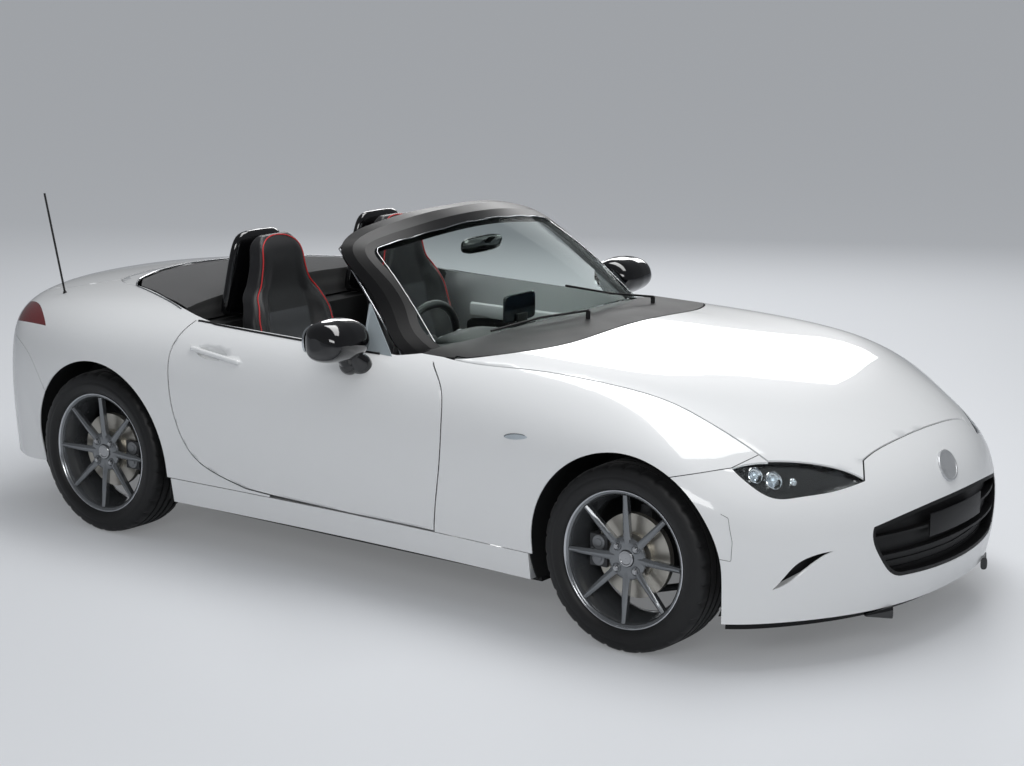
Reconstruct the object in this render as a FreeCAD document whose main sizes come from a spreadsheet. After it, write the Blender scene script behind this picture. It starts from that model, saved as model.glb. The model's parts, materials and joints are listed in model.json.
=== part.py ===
import FreeCAD
import Part
import os
import re
import Sketcher

os.makedirs("parts", exist_ok=True)
doc = FreeCAD.newDocument("roadster")
V = FreeCAD.Vector

# Driving sizes of the roadster, in millimetres and degrees.
sheet = doc.addObject("Spreadsheet::Sheet", "Sizes")
SIZES = [
    ("overall_length", 3915), ("front_overhang", 738), ("wheelbase", 2310),
    ("half_width", 867.5), ("belt_height", 900), ("skin_floor", 100),
    ("panel_gauge", 4), ("seat_gap", 0.3), ("shut_gap", 5),
    ("tub_gauge", 6), ("arch_front_radius", 342), ("arch_rear_radius", 345),
    ("liner_gap", 12), ("liner_gauge", 4), ("arch_depth_front", 388), ("arch_depth_rear", 268),
    ("wheel_radius", 300), ("tyre_width", 195), ("tyre_wall", 97),
    ("rim_flange_radius", 220), ("rim_width", 165), ("rim_gauge", 7),
    ("track_front", 1495), ("track_rear", 1505), ("hub_radius", 30), ("spoke_width", 19),
    ("spoke_depth", 26), ("spoke_count", 8), ("cap_radius", 27), ("wheel_offset", 50),
    ("disc_radius", 135), ("disc_gauge", 22), ("disc_hat_radius", 75), ("kingpin_half_track", 692),
    ("sill_bottom", 170), ("sill_top", 259), ("floor_height", 150), ("rocker_inner", 690),
    ("tunnel_half_width", 118), ("tunnel_height", 330), ("firewall_top", 770),
    ("rail_inner", 415), ("rail_outer", 487), ("rail_bottom", 290), ("rail_top", 390),
    ("door_inner", 716), ("hinge_half_track", 812),
    ("hinge_lead", 50), ("hinge_pin_radius", 5), ("hinge_barrel_radius", 11),
    ("hinge_height", 34), ("hinge_low", 330), ("hinge_high", 470), ("pin_play", 0.3),
    ("glass_gauge", 5), ("frame_gauge", 30), ("seat_width", 440), ("seat_half_track", 345),
    ("steering_half_track", 340), ("steering_wheel_radius", 183), ("steering_grip_radius", 15),
    ("hoop_depth", 66), ("cut_margin", 60), ("lamp_depth", 42),
    ("engine_length", 520), ("engine_width", 460), ("engine_height", 430),
    ("exhaust_pipe_radius", 24), ("tail_pipe_radius", 33), ("antenna_length", 400),
    ("antenna_radius", 4), ("handle_radius", 9),
    ("door_hem", 9),
]
for row, (alias, value) in enumerate(SIZES, start=1):
    sheet.set("A%d" % row, alias)
    sheet.set("B%d" % row, str(value))
    sheet.setAlias("B%d" % row, alias)
doc.recompute()


class Size:
    """Every driving size, read back from the sheet by its name."""


size = Size()
for alias, value in SIZES:
    setattr(size, alias, float(sheet.get(alias)))

half = 0.5
front_axle = size.overall_length * half - size.front_overhang
rear_axle = front_axle - size.wheelbase
rear_overhang = size.overall_length - size.front_overhang - size.wheelbase
parts = {}


def station(share):
    """X of a station share: 0 is the front axle, 1 the rear axle, -1 the nose and 2 the tail."""
    if share < 0:
        return front_axle - share * size.front_overhang
    if share <= 1:
        return front_axle - share * size.wheelbase
    return rear_axle - (share - 1) * rear_overhang


def beam(share):
    return share * size.half_width


def level(share):
    return share * size.belt_height


def add(name, shape):
    """Puts a finished shape into the document under its node's name."""
    feature = doc.addObject("Part::Feature", name)
    feature.Label = name
    feature.Shape = shape
    parts[name] = feature
    return feature


def box(x0, x1, y0, y1, z0, z1):
    """A block between two corners."""
    return Part.makeBox(x1 - x0, y1 - y0, z1 - z0, V(x0, y0, z0))


def mirrored(shape):
    """The same shape on the other side of the car."""
    return shape.mirror(V(0, 0, 0), V(0, 1, 0))


def both(shape):
    return [shape, mirrored(shape)]


def fused(shapes):
    first, rest = shapes[0], shapes[1:]
    return first.multiFuse(rest).removeSplitter() if rest else first


def rod(start, end, radius):
    """A round bar between two points."""
    along = end - start
    return Part.makeCylinder(radius, along.Length, start, along)


def smooth(points):
    """One smooth edge through its points."""
    curve = Part.BSplineCurve()
    curve.interpolate(points)
    return curve.toShape()


def loop(edges):
    """A closed face whose outline is made of runs of points, smooth or straight."""
    wires = []
    for run in edges:
        if len(run) == 2:
            wires.append(Part.LineSegment(run[0], run[1]).toShape())
        else:
            wires.append(smooth(run))
    return Part.Face(Part.Wire(wires))


def plan(runs, z):
    """Plan outline: runs of (station share, beam share) at one height."""
    return loop([[V(station(s), beam(b), z) for s, b in run] for run in runs])


def side(runs, y):
    """Side outline: runs of (station share, height share) on one plane along the car."""
    return loop([[V(station(s), y, level(h)) for s, h in run] for run in runs])


def front_view(runs, x):
    """Front outline: runs of (beam share, height share) across the car."""
    return loop([[V(x, beam(b), level(h)) for b, h in run] for run in runs])


# Table of offsets of the body skin, from the lip under the nose over the car to the lip under
# the tail. Each rib gives its station, its sweep back, its beam, then the beams of its shoulder,
# waist, flank and sill and the heights of its nine rows from the centre to the sill.
rib_shares = [
    (-0.985, .80, .97, (.885, .955, .965, .955),
     (.195, .196, .203, .215, .228, .248, .265, .235, .190)),
    (-1.015, .83, .98, (.890, .965, .985, .970),
     (.340, .343, .350, .360, .370, .380, .385, .320, .215)),
    (-0.995, .83, .98, (.895, .980, .995, .980),
     (.500, .500, .500, .495, .495, .500, .500, .415, .260)),
    (-0.925, .80, .98, (.900, .990, 1.00, .985),
     (.625, .622, .610, .590, .580, .585, .585, .470, .285)),
    (-0.765, .70, .98, (.905, .995, 1.005, .990),
     (.735, .735, .720, .680, .655, .660, .655, .520, .300)),
    (-0.500, .47, .99, (.910, .998, 1.007, .990),
     (.830, .832, .825, .800, .770, .750, .700, .545, .310)),
    (-0.100, .17, 1.0, (.910, 1.00, 1.010, .990),
     (.905, .906, .900, .895, .870, .815, .720, .560, .315)),
    (0.125, .02, 1.0, (.900, .975, .995, .980),
     (.950, .948, .935, .930, .905, .830, .725, .560, .315)),
    (0.300, 0.0, 1.0, (.880, .945, .965, .960),
     (.985, .978, .955, .940, .918, .850, .730, .555, .312)),
    (0.540, 0.0, 1.0, (.888, .945, .965, .955),
     (.995, .985, .965, .948, .925, .860, .740, .560, .312)),
    (0.780, 0.0, 1.005, (.905, .975, .990, .970),
     (.998, .990, .972, .955, .930, .870, .755, .580, .318)),
    (0.990, 0.0, 1.005, (.915, 1.00, 1.015, .990),
     (.992, .985, .972, .955, .935, .875, .775, .600, .325)),
    (1.430, .25, 1.0, (.900, .975, .995, .978),
     (.962, .958, .945, .925, .900, .842, .745, .590, .325)),
    (1.780, .46, .975, (.865, .935, .965, .955),
     (.922, .920, .905, .885, .855, .795, .700, .560, .320)),
    (1.945, .57, .965, (.850, .920, .950, .940),
     (.885, .882, .868, .845, .812, .752, .660, .530, .312)),
    (2.000, .61, .965, (.850, .915, .940, .930),
     (.755, .753, .745, .730, .705, .660, .595, .485, .300)),
    (2.015, .62, .965, (.850, .915, .935, .925),
     (.520, .520, .515, .507, .497, .480, .450, .390, .275)),
    (1.985, .60, .965, (.845, .905, .925, .915),
     (.310, .310, .310, .309, .307, .302, .290, .265, .220)),
]
# How the sweep grows from the centre to the sill, and where the rows inside the crest stand.
sweep_shares = (0, .03, .13, .27, .395, .55, .725, .88, 1)
row_beam_shares = (0, .265, .507, .68, .795)
hem_share = 0.012
hem_tuck_share = 0.046
# How far the lips turn under at the centre and reach out at their hidden corners.
nose_tuck_share = 0.055
nose_corner_share = 0.05
tail_tuck_share = 0.087
tail_corner_share = 0.04


def skin_net():
    """Half net of the skin's poles, from the centre to the hem, one list for each rib."""
    net = []
    for place, sweep, rib_beam, beams, heights in rib_shares:
        ahead = place < half
        reach = -size.front_overhang if ahead else rear_overhang
        shares = [share * rib_beam for share in row_beam_shares] + list(beams)
        rib = []
        for lag, width, height in zip(sweep_shares, shares, heights):
            rib.append(V(station(place) + reach * sweep * lag, beam(width), level(height)))
        tuck = size.front_overhang * hem_share
        last = rib[-1]
        hem_x = last.x - tuck if ahead else last.x + tuck
        rib.append(V(hem_x, last.y - beam(hem_tuck_share), size.skin_floor))
        net.append(rib)
    count = len(net[0])
    under_nose = []
    under_tail = []
    for index in range(count):
        out = index / (count - 1)
        nose = net[0][index]
        tail = net[-1][index]
        nose_shift = nose_corner_share * out - nose_tuck_share * (1 - out)
        tail_shift = tail_tuck_share * (1 - out) - tail_corner_share * out
        nose_x = nose.x + size.front_overhang * nose_shift
        tail_x = tail.x + rear_overhang * tail_shift
        under_nose.append(V(nose_x, nose.y, size.skin_floor))
        under_tail.append(V(tail_x, tail.y, size.skin_floor))
    return [under_nose] + net + [under_tail]


def skin_solid(inset):
    """The body volume inside the skin, drawn in by an inset, closed by a flat floor."""
    net = skin_net()
    full = [[V(p.x, -p.y, p.z) for p in reversed(rib[1:])] + rib for rib in net]
    rows = len(full)
    columns = len(full[0])
    moved = []
    for i in range(rows):
        line = []
        for j in range(columns):
            ahead = full[max(i - 1, 0)][j]
            behind = full[min(i + 1, rows - 1)][j]
            right = full[i][max(j - 1, 0)]
            left = full[i][min(j + 1, columns - 1)]
            outward = (ahead - behind).cross(left - right)
            outward.normalize()
            pole = full[i][j] - outward * inset
            if i in (0, rows - 1) or j in (0, columns - 1):
                pole.z = size.skin_floor - inset
            line.append(pole)
        moved.append(line)
    degree = 3
    surface = Part.BSplineSurface()
    ends = [degree + 1]
    u_mults = ends + [1] * (rows - degree - 1) + ends
    v_mults = ends + [1] * (columns - degree - 1) + ends
    u_knots = [float(k) for k in range(len(u_mults))]
    v_knots = [float(k) for k in range(len(v_mults))]
    surface.buildFromPolesMultsKnots(moved, u_mults, v_mults, u_knots, v_knots,
                                     False, False, degree, degree)
    blanket = surface.toShape()
    floor = Part.Face(Part.Wire(Part.__sortEdges__(blanket.Edges)))
    body = Part.makeSolid(Part.makeShell([blanket, floor]))
    if body.Volume < 0:
        body.reverse()
    return body


def upright(face, rise):
    """A prism standing on a plan outline."""
    return face.extrude(V(0, 0, rise))


def across(face, reach):
    """A prism run across the car from a side outline."""
    return face.extrude(V(0, reach, 0))


skin = skin_solid(0)
lining = skin_solid(size.panel_gauge)
cavity = skin_solid(size.panel_gauge + size.seat_gap)

far = size.half_width + size.cut_margin
top = size.belt_height + size.cut_margin
bottom = size.skin_floor - size.cut_margin

# Wheel arches, cut from the skin on both sides.
arches = []
for axle_x, radius, depth in (
    (front_axle, size.arch_front_radius, size.arch_depth_front),
    (rear_axle, size.arch_rear_radius, size.arch_depth_rear),
):
    drum = Part.makeCylinder(radius, depth + size.cut_margin,
                             V(axle_x, far - depth - size.cut_margin, size.wheel_radius), V(0, 1, 0))
    below = box(axle_x - radius, axle_x + radius, far - depth - size.cut_margin, far,
                bottom, size.wheel_radius)
    arches += both(drum.fuse(below))
arched = skin
for arch in arches:
    arched = arched.cut(arch)

# Plan outlines of the lid openings, the screen well and the cockpit, for the left half.
hood_rear_shares = [(.221, 0), (.219, .235), (.228, .499), (.273, .708), (.352, .797)]
hood_side_shares = [(.352, .797), (.262, .800), (.197, .782), (.064, .764), (-.089, .748),
                    (-.260, .741), (-.396, .723), (-.512, .703)]
hood_lamp_shares = [(-.512, .703), (-.602, .621), (-.695, .542), (-.759, .491), (-.809, .456)]
hood_step_shares = [(-.809, .456), (-.767, .401)]
hood_nose_shares = [(-.767, .401), (-.770, .330), (-.778, .217), (-.783, 0)]
cowl_side_shares = [(.352, .797), (.392, .797)]
cockpit_front_shares = [(.330, 0), (.335, .300), (.350, .560), (.392, .797)]
cockpit_side_shares = [(.392, .797), (.430, .826), (.600, .828), (.790, .826), (.881, .762),
                       (.959, .671), (1.180, .541)]
cockpit_rear_shares = [(1.180, .541), (1.290, .416), (1.370, .235), (1.410, 0)]
boot_front_shares = [(1.470, 0), (1.450, .235), (1.400, .430)]
boot_side_shares = [(1.400, .430), (1.550, .560), (1.750, .560), (1.900, .520)]
boot_tail_shares = [(1.900, .520), (1.965, .300), (1.985, 0)]


def mirror_runs(runs, plan_view=True):
    """Closes a half outline with its mirror image; its first and last runs meet the centre."""
    def other(run):
        if plan_view:
            return [(place, -width) for place, width in reversed(run)]
        return [(-width, height) for width, height in reversed(run)]
    first = other(runs[0]) + runs[0][1:]
    last = runs[-1] + other(runs[-1])[1:]
    between = runs[1:-1]
    return [first] + between + [last] + [other(run) for run in reversed(between)]


hood_runs = mirror_runs([hood_rear_shares, hood_side_shares, hood_lamp_shares,
                         hood_step_shares, hood_nose_shares])
cockpit_runs = mirror_runs([cockpit_front_shares, cockpit_side_shares, cockpit_rear_shares])
boot_runs = mirror_runs([boot_front_shares, boot_side_shares, boot_tail_shares])
lamp_outer_shares = [(-.417, .818), (-.443, .778), (-.512, .703)]
lamp_lower_shares = [(-.809, .456), (-.737, .603), (-.660, .702), (-.572, .784), (-.492, .810),
                     (-.417, .818)]
deck_side_shares = [(1.180, .541), (1.290, .510), (1.400, .430)]

# Side outlines of the door, the front fender and the rear quarter.
door_front_shares = [(.372, .960), (.366, .906), (.349, .870), (.325, .814), (.311, .697),
                     (.312, .507), (.324, .290)]
door_sill_shares = [(.324, .290), (.429, .289), (.565, .292), (.688, .304)]
door_rear_shares = [(.688, .304), (.756, .350), (.792, .402), (.814, .481), (.828, .577),
                    (.838, .709), (.843, .813), (.836, .890), (.815, .960)]
door_runs = [door_front_shares, door_sill_shares, door_rear_shares, [(.815, .960), (.372, .960)]]
fender_cut_shares = [(-.150, .640), (-.243, .659), (-.305, .669), (-.417, .682)]
fender_runs = [fender_cut_shares, [(-.417, .682), (-.620, .800)], [(-.620, .800), (-.620, 1.05)],
               [(-.620, 1.05), (.440, 1.05)], [(.440, 1.05), (.440, .150)],
               [(.440, .150), (-.150, .150)], [(-.150, .150), (-.150, .640)]]
quarter_cut_shares = [(1.250, .470), (1.340, .560), (1.450, .670), (1.560, .715), (2.120, .715)]
quarter_runs = [quarter_cut_shares, [(2.120, .715), (2.120, 1.05)], [(2.120, 1.05), (.640, 1.05)],
                [(.640, 1.05), (.640, .150)], [(.640, .150), (1.250, .150)],
                [(1.250, .150), (1.250, .470)]]
# Front outlines of the grille, the corner slits and the tail lamps.
grille_top_shares = [(0, .512), (.184, .508), (.362, .492), (.489, .471)]
grille_side_shares = [(.489, .471), (.498, .447), (.462, .350), (.428, .309), (.361, .278)]
grille_base_shares = [(.361, .278), (.187, .271), (0, .268)]
slit_runs = [[(.818, .289), (.791, .328), (.753, .378), (.707, .400), (.640, .409)],
             [(.640, .409), (.700, .380), (.740, .345), (.785, .303), (.818, .289)]]
tail_lamp_runs = [[(.645, .806), (.680, .848), (.760, .858), (.885, .806)],
                  [(.885, .806), (.790, .785), (.700, .778), (.645, .806)]]


def opening(face, gap):
    """The outline of a panel, drawn in by a gap so that it sits in its opening."""
    return face.makeOffset2D(-gap).toNurbs().Faces[0]


low_plane_share = .45
boot_plane_share = .69
nose_base_share = .17
tail_base_share = .235
quarter_inner_share = .30
tail_face_share = 1.05
nose_start_share = -.05
tail_start_share = 1.20
beyond_nose_share = -1.2
beyond_tail_share = 2.2
low_plane = level(low_plane_share)
boot_plane = level(boot_plane_share)
fixed_gap = size.shut_gap * half
hood_face = plan(hood_runs, low_plane)
hood_hole = upright(hood_face, top - low_plane)
hood_room = upright(opening(hood_face, size.shut_gap), top - low_plane)
cockpit_hole = upright(plan(cockpit_runs, low_plane), top - low_plane)
boot_face = plan(boot_runs, boot_plane)
boot_hole = upright(boot_face, top - boot_plane)
boot_room = upright(opening(boot_face, size.shut_gap), top - boot_plane)
lamp_face = plan([lamp_outer_shares, hood_lamp_shares, lamp_lower_shares], low_plane)
lamp_holes = both(upright(lamp_face, top - low_plane))
lamp_room = upright(opening(lamp_face, size.seat_gap * 2), top - low_plane)
cowl_face = plan(mirror_runs([hood_rear_shares, cowl_side_shares,
                              cockpit_front_shares[::-1]]), low_plane)
cowl_hole = upright(cowl_face, top - low_plane)
cowl_room = upright(opening(cowl_face, fixed_gap), top - low_plane)
deck_face = plan(mirror_runs([cockpit_rear_shares[::-1], deck_side_shares,
                              boot_front_shares[::-1]]), low_plane)
deck_hole = upright(deck_face, top - low_plane)
deck_room = upright(opening(deck_face, fixed_gap), top - low_plane)

# Door, fender and quarter rooms on the left half.
door_face = side(door_runs, size.door_inner)
door_hole = across(door_face, far - size.door_inner)
door_room = across(opening(door_face, size.shut_gap), far - size.door_inner)
fender_face = side(fender_runs, 0)
fender_hole = across(fender_face, far)
fender_room = across(opening(fender_face, fixed_gap), far)
quarter_inner = beam(quarter_inner_share)
quarter_face = side(quarter_runs, quarter_inner)
quarter_hole = across(quarter_face, far - quarter_inner)
quarter_room = across(opening(quarter_face, fixed_gap), far - quarter_inner)
nose_runs = mirror_runs([grille_top_shares, grille_side_shares, grille_base_shares], False)
nose_face = front_view(nose_runs, front_axle + size.arch_front_radius)
grille_hole = nose_face.extrude(V(size.front_overhang, 0, 0))
grille_room = opening(nose_face, size.seat_gap * 2).extrude(V(size.front_overhang, 0, 0))
grille_mouth = opening(nose_face, size.panel_gauge * 3).extrude(V(size.front_overhang, 0, 0))
slit_face = front_view(slit_runs, front_axle + size.arch_front_radius)
slit_hole = slit_face.extrude(V(size.front_overhang, 0, 0))
tail_face = front_view(tail_lamp_runs, station(tail_face_share))
tail_hole = tail_face.extrude(V(-rear_overhang - size.cut_margin, 0, 0))
tail_room = opening(tail_face, size.seat_gap * 2).extrude(V(-rear_overhang - size.cut_margin, 0, 0))


def panel(room, holes):
    """A skin panel: the part of the skin inside its room, less the openings that cut it."""
    solid = arched.common(room)
    for hole in holes:
        solid = solid.cut(hole)
    return solid.cut(lining)


def biggest(shape):
    """The main solid of a cut, without slivers."""
    return max(shape.Solids, key=lambda solid: solid.Volume)


sill_plane = size.sill_top + fixed_gap
above_sill = box(station(beyond_tail_share), station(beyond_nose_share), -far, far,
                 sill_plane, top)
hood = panel(hood_room, [])
cowl = panel(cowl_room, [])
deck = panel(deck_room, [])
boot = panel(boot_room, both(tail_hole))
fender = panel(fender_room, [hood_hole, cowl_hole, cockpit_hole, door_hole, lamp_holes[0]])
fender = biggest(fender.common(above_sill))
quarter = panel(quarter_room, [cockpit_hole, deck_hole, boot_hole, door_hole, tail_hole])
quarter = biggest(quarter.common(above_sill))
nose_room = box(station(nose_start_share), station(beyond_nose_share), -far, far,
                level(nose_base_share), top)
nose = panel(nose_room, both(fender_hole) + [hood_hole] + lamp_holes + [grille_hole]
             + both(slit_hole))
tail_box = box(station(beyond_tail_share), station(tail_start_share), -far, far,
               level(tail_base_share), top)
tail = panel(tail_box, both(quarter_hole) + [boot_hole, deck_hole, cockpit_hole]
             + both(tail_hole))
door_body = across(opening(door_face, size.shut_gap + size.door_hem), far - size.door_inner)
door = panel(door_room, []).fuse(arched.common(door_body))

add("rear_deck", deck)
add("fender_left", fender)
add("fender_right", mirrored(fender))
add("quarter_left", quarter)
add("quarter_right", mirrored(quarter))
add("front_bumper", biggest(nose))

# Lamps: thick clear-covered units that fill their openings in the skin.
lamp_back = skin_solid(size.lamp_depth)
lamp = arched.common(lamp_room).cut(lamp_back)
add("headlamps", Part.makeCompound(both(biggest(lamp))))
tail_lamp = arched.common(tail_room).cut(lamp_back)
add("tail_lamps", Part.makeCompound(both(biggest(tail_lamp))))

# Grille: a dark curved back plate with two level bars standing on it.
bar_face = skin_solid(size.panel_gauge * 2)
plate_face = skin_solid(size.lamp_depth - size.panel_gauge * 2)
bars = []
bar_shares = (.355, .425)
for bar_share in bar_shares:
    bars.append(box(front_axle, front_axle + size.overall_length, -far, far,
                    level(bar_share), level(bar_share) + size.panel_gauge * 2))
plate = arched.common(grille_room).cut(lamp_back).common(plate_face)
rails = [arched.common(grille_room).cut(lamp_back).common(bar_face).common(bar) for bar in bars]
rim = arched.common(grille_room).cut([lamp_back, grille_mouth]).common(skin_solid(size.panel_gauge * half))
add("front_grille", biggest(fused([plate, rim] + rails)))

# Lip below the nose, and the sills between the wheels.
lip_room = box(front_axle + size.arch_front_radius, front_axle + size.overall_length, -far, far,
               size.skin_floor + size.panel_gauge * 3, level(nose_base_share) - size.seat_gap)
lip = skin_solid(size.panel_gauge * half).common(lip_room).cut(lamp_back)
add("front_lip", biggest(lip))
rocker_outer = size.door_inner + size.hinge_lead
sill_end = size.liner_gap + size.liner_gauge + size.seat_gap
sill_room = box(rear_axle + size.arch_rear_radius + sill_end,
                front_axle - size.arch_front_radius - sill_end,
                rocker_outer, far, size.sill_bottom, size.sill_top)
sill = arched.common(sill_room)
add("side_sills", Part.makeCompound(both(biggest(sill))))

# Body tub: floor, tunnel, bulkheads, rockers, rails, wheel liners and boot tray in sheet steel.
gauge = size.tub_gauge
liner_front = size.arch_front_radius + size.liner_gap
liner_rear = size.arch_rear_radius + size.liner_gap
firewall_x = front_axle - liner_front
bulkhead_x = rear_axle + liner_rear
floor_top = size.floor_height + gauge
inner_front = size.kingpin_half_track - size.tyre_width - size.liner_gap
inner_rear = (size.track_rear - size.tyre_width) * half - size.liner_gap * 2
shelf_end_share = 1.37
shelf_top = size.firewall_top + gauge * 2
post_front_share = .270
post_rear_share = .302
foot_rear_share = .425
tray_end_share = 1.86
rail_end_share = 1.75
engine_low_share = .35
engine_ahead_share = .34
cross_member_share = .12
beam_front_share = -0.80
beam_rear_share = -0.76
cowl_stay_share = .312
cowl_stay_beam_share = .660
rocker_skin = rocker_outer - size.seat_gap
left_pieces = [
    box(bulkhead_x, firewall_x, size.rocker_inner, rocker_skin, size.floor_height, size.sill_top),
    box(firewall_x - gauge, station(beam_rear_share), size.rail_inner, size.rail_outer,
        size.rail_bottom, size.rail_top),
    box(station(rail_end_share), bulkhead_x + gauge, size.rail_inner, size.rail_outer,
        size.rail_bottom, size.rail_top),
    box(station(post_rear_share), station(post_front_share), size.rocker_inner - gauge,
        size.hinge_half_track - size.hinge_lead - gauge * 2 - size.shut_gap * 2,
        size.floor_height, size.firewall_top),
    box(station(foot_rear_share), station(post_front_share), size.rocker_inner - size.frame_gauge,
        size.rocker_inner + gauge * 2, size.rail_outer + size.rail_top * half, size.firewall_top),
]
pieces = [
    box(bulkhead_x, firewall_x, -rocker_skin, rocker_skin, size.floor_height, floor_top),
    box(firewall_x - gauge, firewall_x, -size.rocker_inner, size.rocker_inner,
        size.floor_height, size.firewall_top),
    box(bulkhead_x, bulkhead_x + gauge, -size.rocker_inner, size.rocker_inner,
        size.floor_height, shelf_top),
    box(bulkhead_x, firewall_x, -size.tunnel_half_width, size.tunnel_half_width,
        size.floor_height, size.tunnel_height),
    box(station(beam_rear_share), station(beam_front_share), -size.rail_outer, size.rail_outer,
        size.rail_bottom, size.rail_top),
    box(station(shelf_end_share), bulkhead_x + gauge, -inner_rear, inner_rear,
        shelf_top - gauge, shelf_top),
    box(station(cowl_stay_share), firewall_x, -size.rocker_inner, size.rocker_inner,
        size.firewall_top - gauge, size.firewall_top),
    box(station(cowl_stay_share), station(cowl_stay_share) + gauge, -beam(cowl_stay_beam_share),
        beam(cowl_stay_beam_share), size.firewall_top - gauge, top),
]
for piece in left_pieces:
    pieces += both(piece)
engine_bottom = size.rail_top - size.engine_height * engine_low_share
cross_front = front_axle - size.engine_length * cross_member_share
cross_low = engine_bottom - size.seat_gap - size.frame_gauge
pieces.append(box(cross_front - size.cut_margin, cross_front, -size.rail_outer, size.rail_outer,
                  cross_low, engine_bottom - size.seat_gap))
pieces += both(box(cross_front - size.cut_margin, cross_front, size.rail_inner, size.rail_outer,
                   cross_low, size.rail_bottom + gauge))
trunk_shell = box(station(tray_end_share), bulkhead_x + gauge, -inner_rear, inner_rear,
                  size.rail_top, size.firewall_top)
trunk_void = box(station(tray_end_share) + gauge, bulkhead_x, gauge - inner_rear,
                 inner_rear - gauge, size.rail_top + gauge, top)
pieces.append(trunk_shell.cut(trunk_void))
tunnel_void = box(bulkhead_x - gauge, firewall_x + gauge, gauge - size.tunnel_half_width,
                  size.tunnel_half_width - gauge, bottom, size.tunnel_height - gauge)
for axle_x, radius, wall in ((front_axle, liner_front, inner_front),
                             (rear_axle, liner_rear, inner_rear)):
    drum = Part.makeCylinder(radius + size.liner_gauge, far - wall,
                             V(axle_x, wall, size.wheel_radius), V(0, 1, 0))
    bore = Part.makeCylinder(radius, far, V(axle_x, wall + size.liner_gauge, size.wheel_radius),
                             V(0, 1, 0))
    keep = box(axle_x - far, axle_x + far, 0, far, size.sill_bottom + gauge, top)
    pieces += both(drum.cut(bore).common(keep))
door_front_share = .311
hood_axis_shares = (.3245, .7893, .883)
boot_axis_shares = (1.3565, .36, .939)
hinge_x = station(door_front_share) + size.hinge_lead - size.shut_gap
hinge_y = size.hinge_half_track
hinge_lug = size.pin_play + size.tub_gauge
arm_y = hinge_y - size.hinge_lead - gauge * 2 - size.shut_gap
hinge_pieces = []
for hinge_z in (size.hinge_low, size.hinge_high):
    for lug_z in (hinge_z - hinge_lug - size.tub_gauge, hinge_z + size.hinge_height + size.pin_play):
        lug = box(hinge_x - size.hinge_barrel_radius, hinge_x + size.hinge_barrel_radius,
                  size.rocker_inner, hinge_y + size.hinge_pin_radius, lug_z,
                  lug_z + size.tub_gauge * 2)
        hinge_pieces.append(lug)
    pin = Part.makeCylinder(size.hinge_pin_radius, size.hinge_height + hinge_lug * 2,
                            V(hinge_x, hinge_y, hinge_z - hinge_lug))
    hinge_pieces.append(pin)
lid_plate = size.tub_gauge
hood_axis = V(station(hood_axis_shares[0]), beam(hood_axis_shares[1]),
              level(hood_axis_shares[2]))
hood_bracket = box(hood_axis.x - size.hinge_barrel_radius, hood_axis.x + size.hinge_barrel_radius,
                   hood_axis.y - size.hinge_height * half - lid_plate,
                   hood_axis.y - size.hinge_height * half,
                   size.firewall_top - gauge, hood_axis.z + size.hinge_pin_radius)
hood_pin = Part.makeCylinder(size.hinge_pin_radius, size.hinge_height,
                             hood_axis - V(0, size.hinge_height * half + lid_plate * half, 0),
                             V(0, 1, 0))
boot_axis = V(station(boot_axis_shares[0]), beam(boot_axis_shares[1]),
              level(boot_axis_shares[2]))
boot_bracket = box(boot_axis.x - size.hinge_barrel_radius, boot_axis.x + size.hinge_barrel_radius,
                   boot_axis.y, boot_axis.y + lid_plate,
                   shelf_top - gauge, boot_axis.z + size.hinge_pin_radius)
boot_pin = Part.makeCylinder(size.hinge_pin_radius, size.hinge_height * half + lid_plate * half,
                             boot_axis - V(0, size.hinge_height * half, 0), V(0, 1, 0))
hinge_pieces += [hood_bracket, hood_pin, boot_bracket, boot_pin]
for piece in hinge_pieces:
    pieces += both(piece)
tub = pieces[0].multiFuse(pieces[1:])
tub = tub.cut([tunnel_void]).common(cavity)
tub = tub.cut(both(tail_hole.cut(skin_solid(size.lamp_depth + size.panel_gauge))))
add("floor_tub", tub)

# Hood and boot lid arms: a short one at each rear corner of the hood, and a goose neck that
# swings out past the front edge of the boot opening.
arm_gauge = gauge * 2
barrel_share = .8
leg_start_share = .4
leg_end_share = 1.5
hood_barrel = Part.makeCylinder(size.hinge_barrel_radius * barrel_share, arm_gauge,
                                hood_axis - V(0, arm_gauge * half, 0), V(0, 1, 0))
hood_arm = box(hood_axis.x, hood_axis.x + size.hinge_lead * leg_end_share,
               hood_axis.y - arm_gauge * half, hood_axis.y + arm_gauge * half,
               hood_axis.z - gauge, hood_axis.z + size.panel_gauge)
hood_leg = box(hood_axis.x + size.hinge_lead * leg_start_share, hood_axis.x + size.hinge_lead * leg_end_share,
               hood_axis.y - arm_gauge * half, hood_axis.y + arm_gauge * half,
               hood_axis.z - gauge, top)
hood_bore = Part.makeCylinder(size.hinge_pin_radius + size.pin_play, arm_gauge * 2,
                              hood_axis - V(0, arm_gauge, 0), V(0, 1, 0))
hood_hinge = hood_barrel.multiFuse([hood_arm, hood_leg]).common(skin_solid(size.panel_gauge * half))
hood_hinge = hood_hinge.cut(hood_bore)
hood = hood.multiFuse(both(hood_hinge))
notch = box(hood_axis.x - size.hinge_barrel_radius * 2, hood_axis.x + size.hinge_lead,
            hood_axis.y - arm_gauge * half - size.shut_gap,
            hood_axis.y + arm_gauge * half + size.shut_gap, size.firewall_top, top)
cowl = cowl.cut(both(notch))
neck_shares = [(0, 0), (-.018, -.074), (-.070, -.098), (-.125, -.075), (-.145, .030)]
neck_size = size.firewall_top - gauge
neck_points = [V(boot_axis.x + neck_size * a, boot_axis.y - arm_gauge, boot_axis.z + neck_size * b)
               for a, b in neck_shares]
neck_bars = []
for start, end in zip(neck_points, neck_points[1:]):
    neck_bars.append(rod(start, end, size.hinge_pin_radius))
    neck_bars.append(Part.makeSphere(size.hinge_pin_radius, end))
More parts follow.
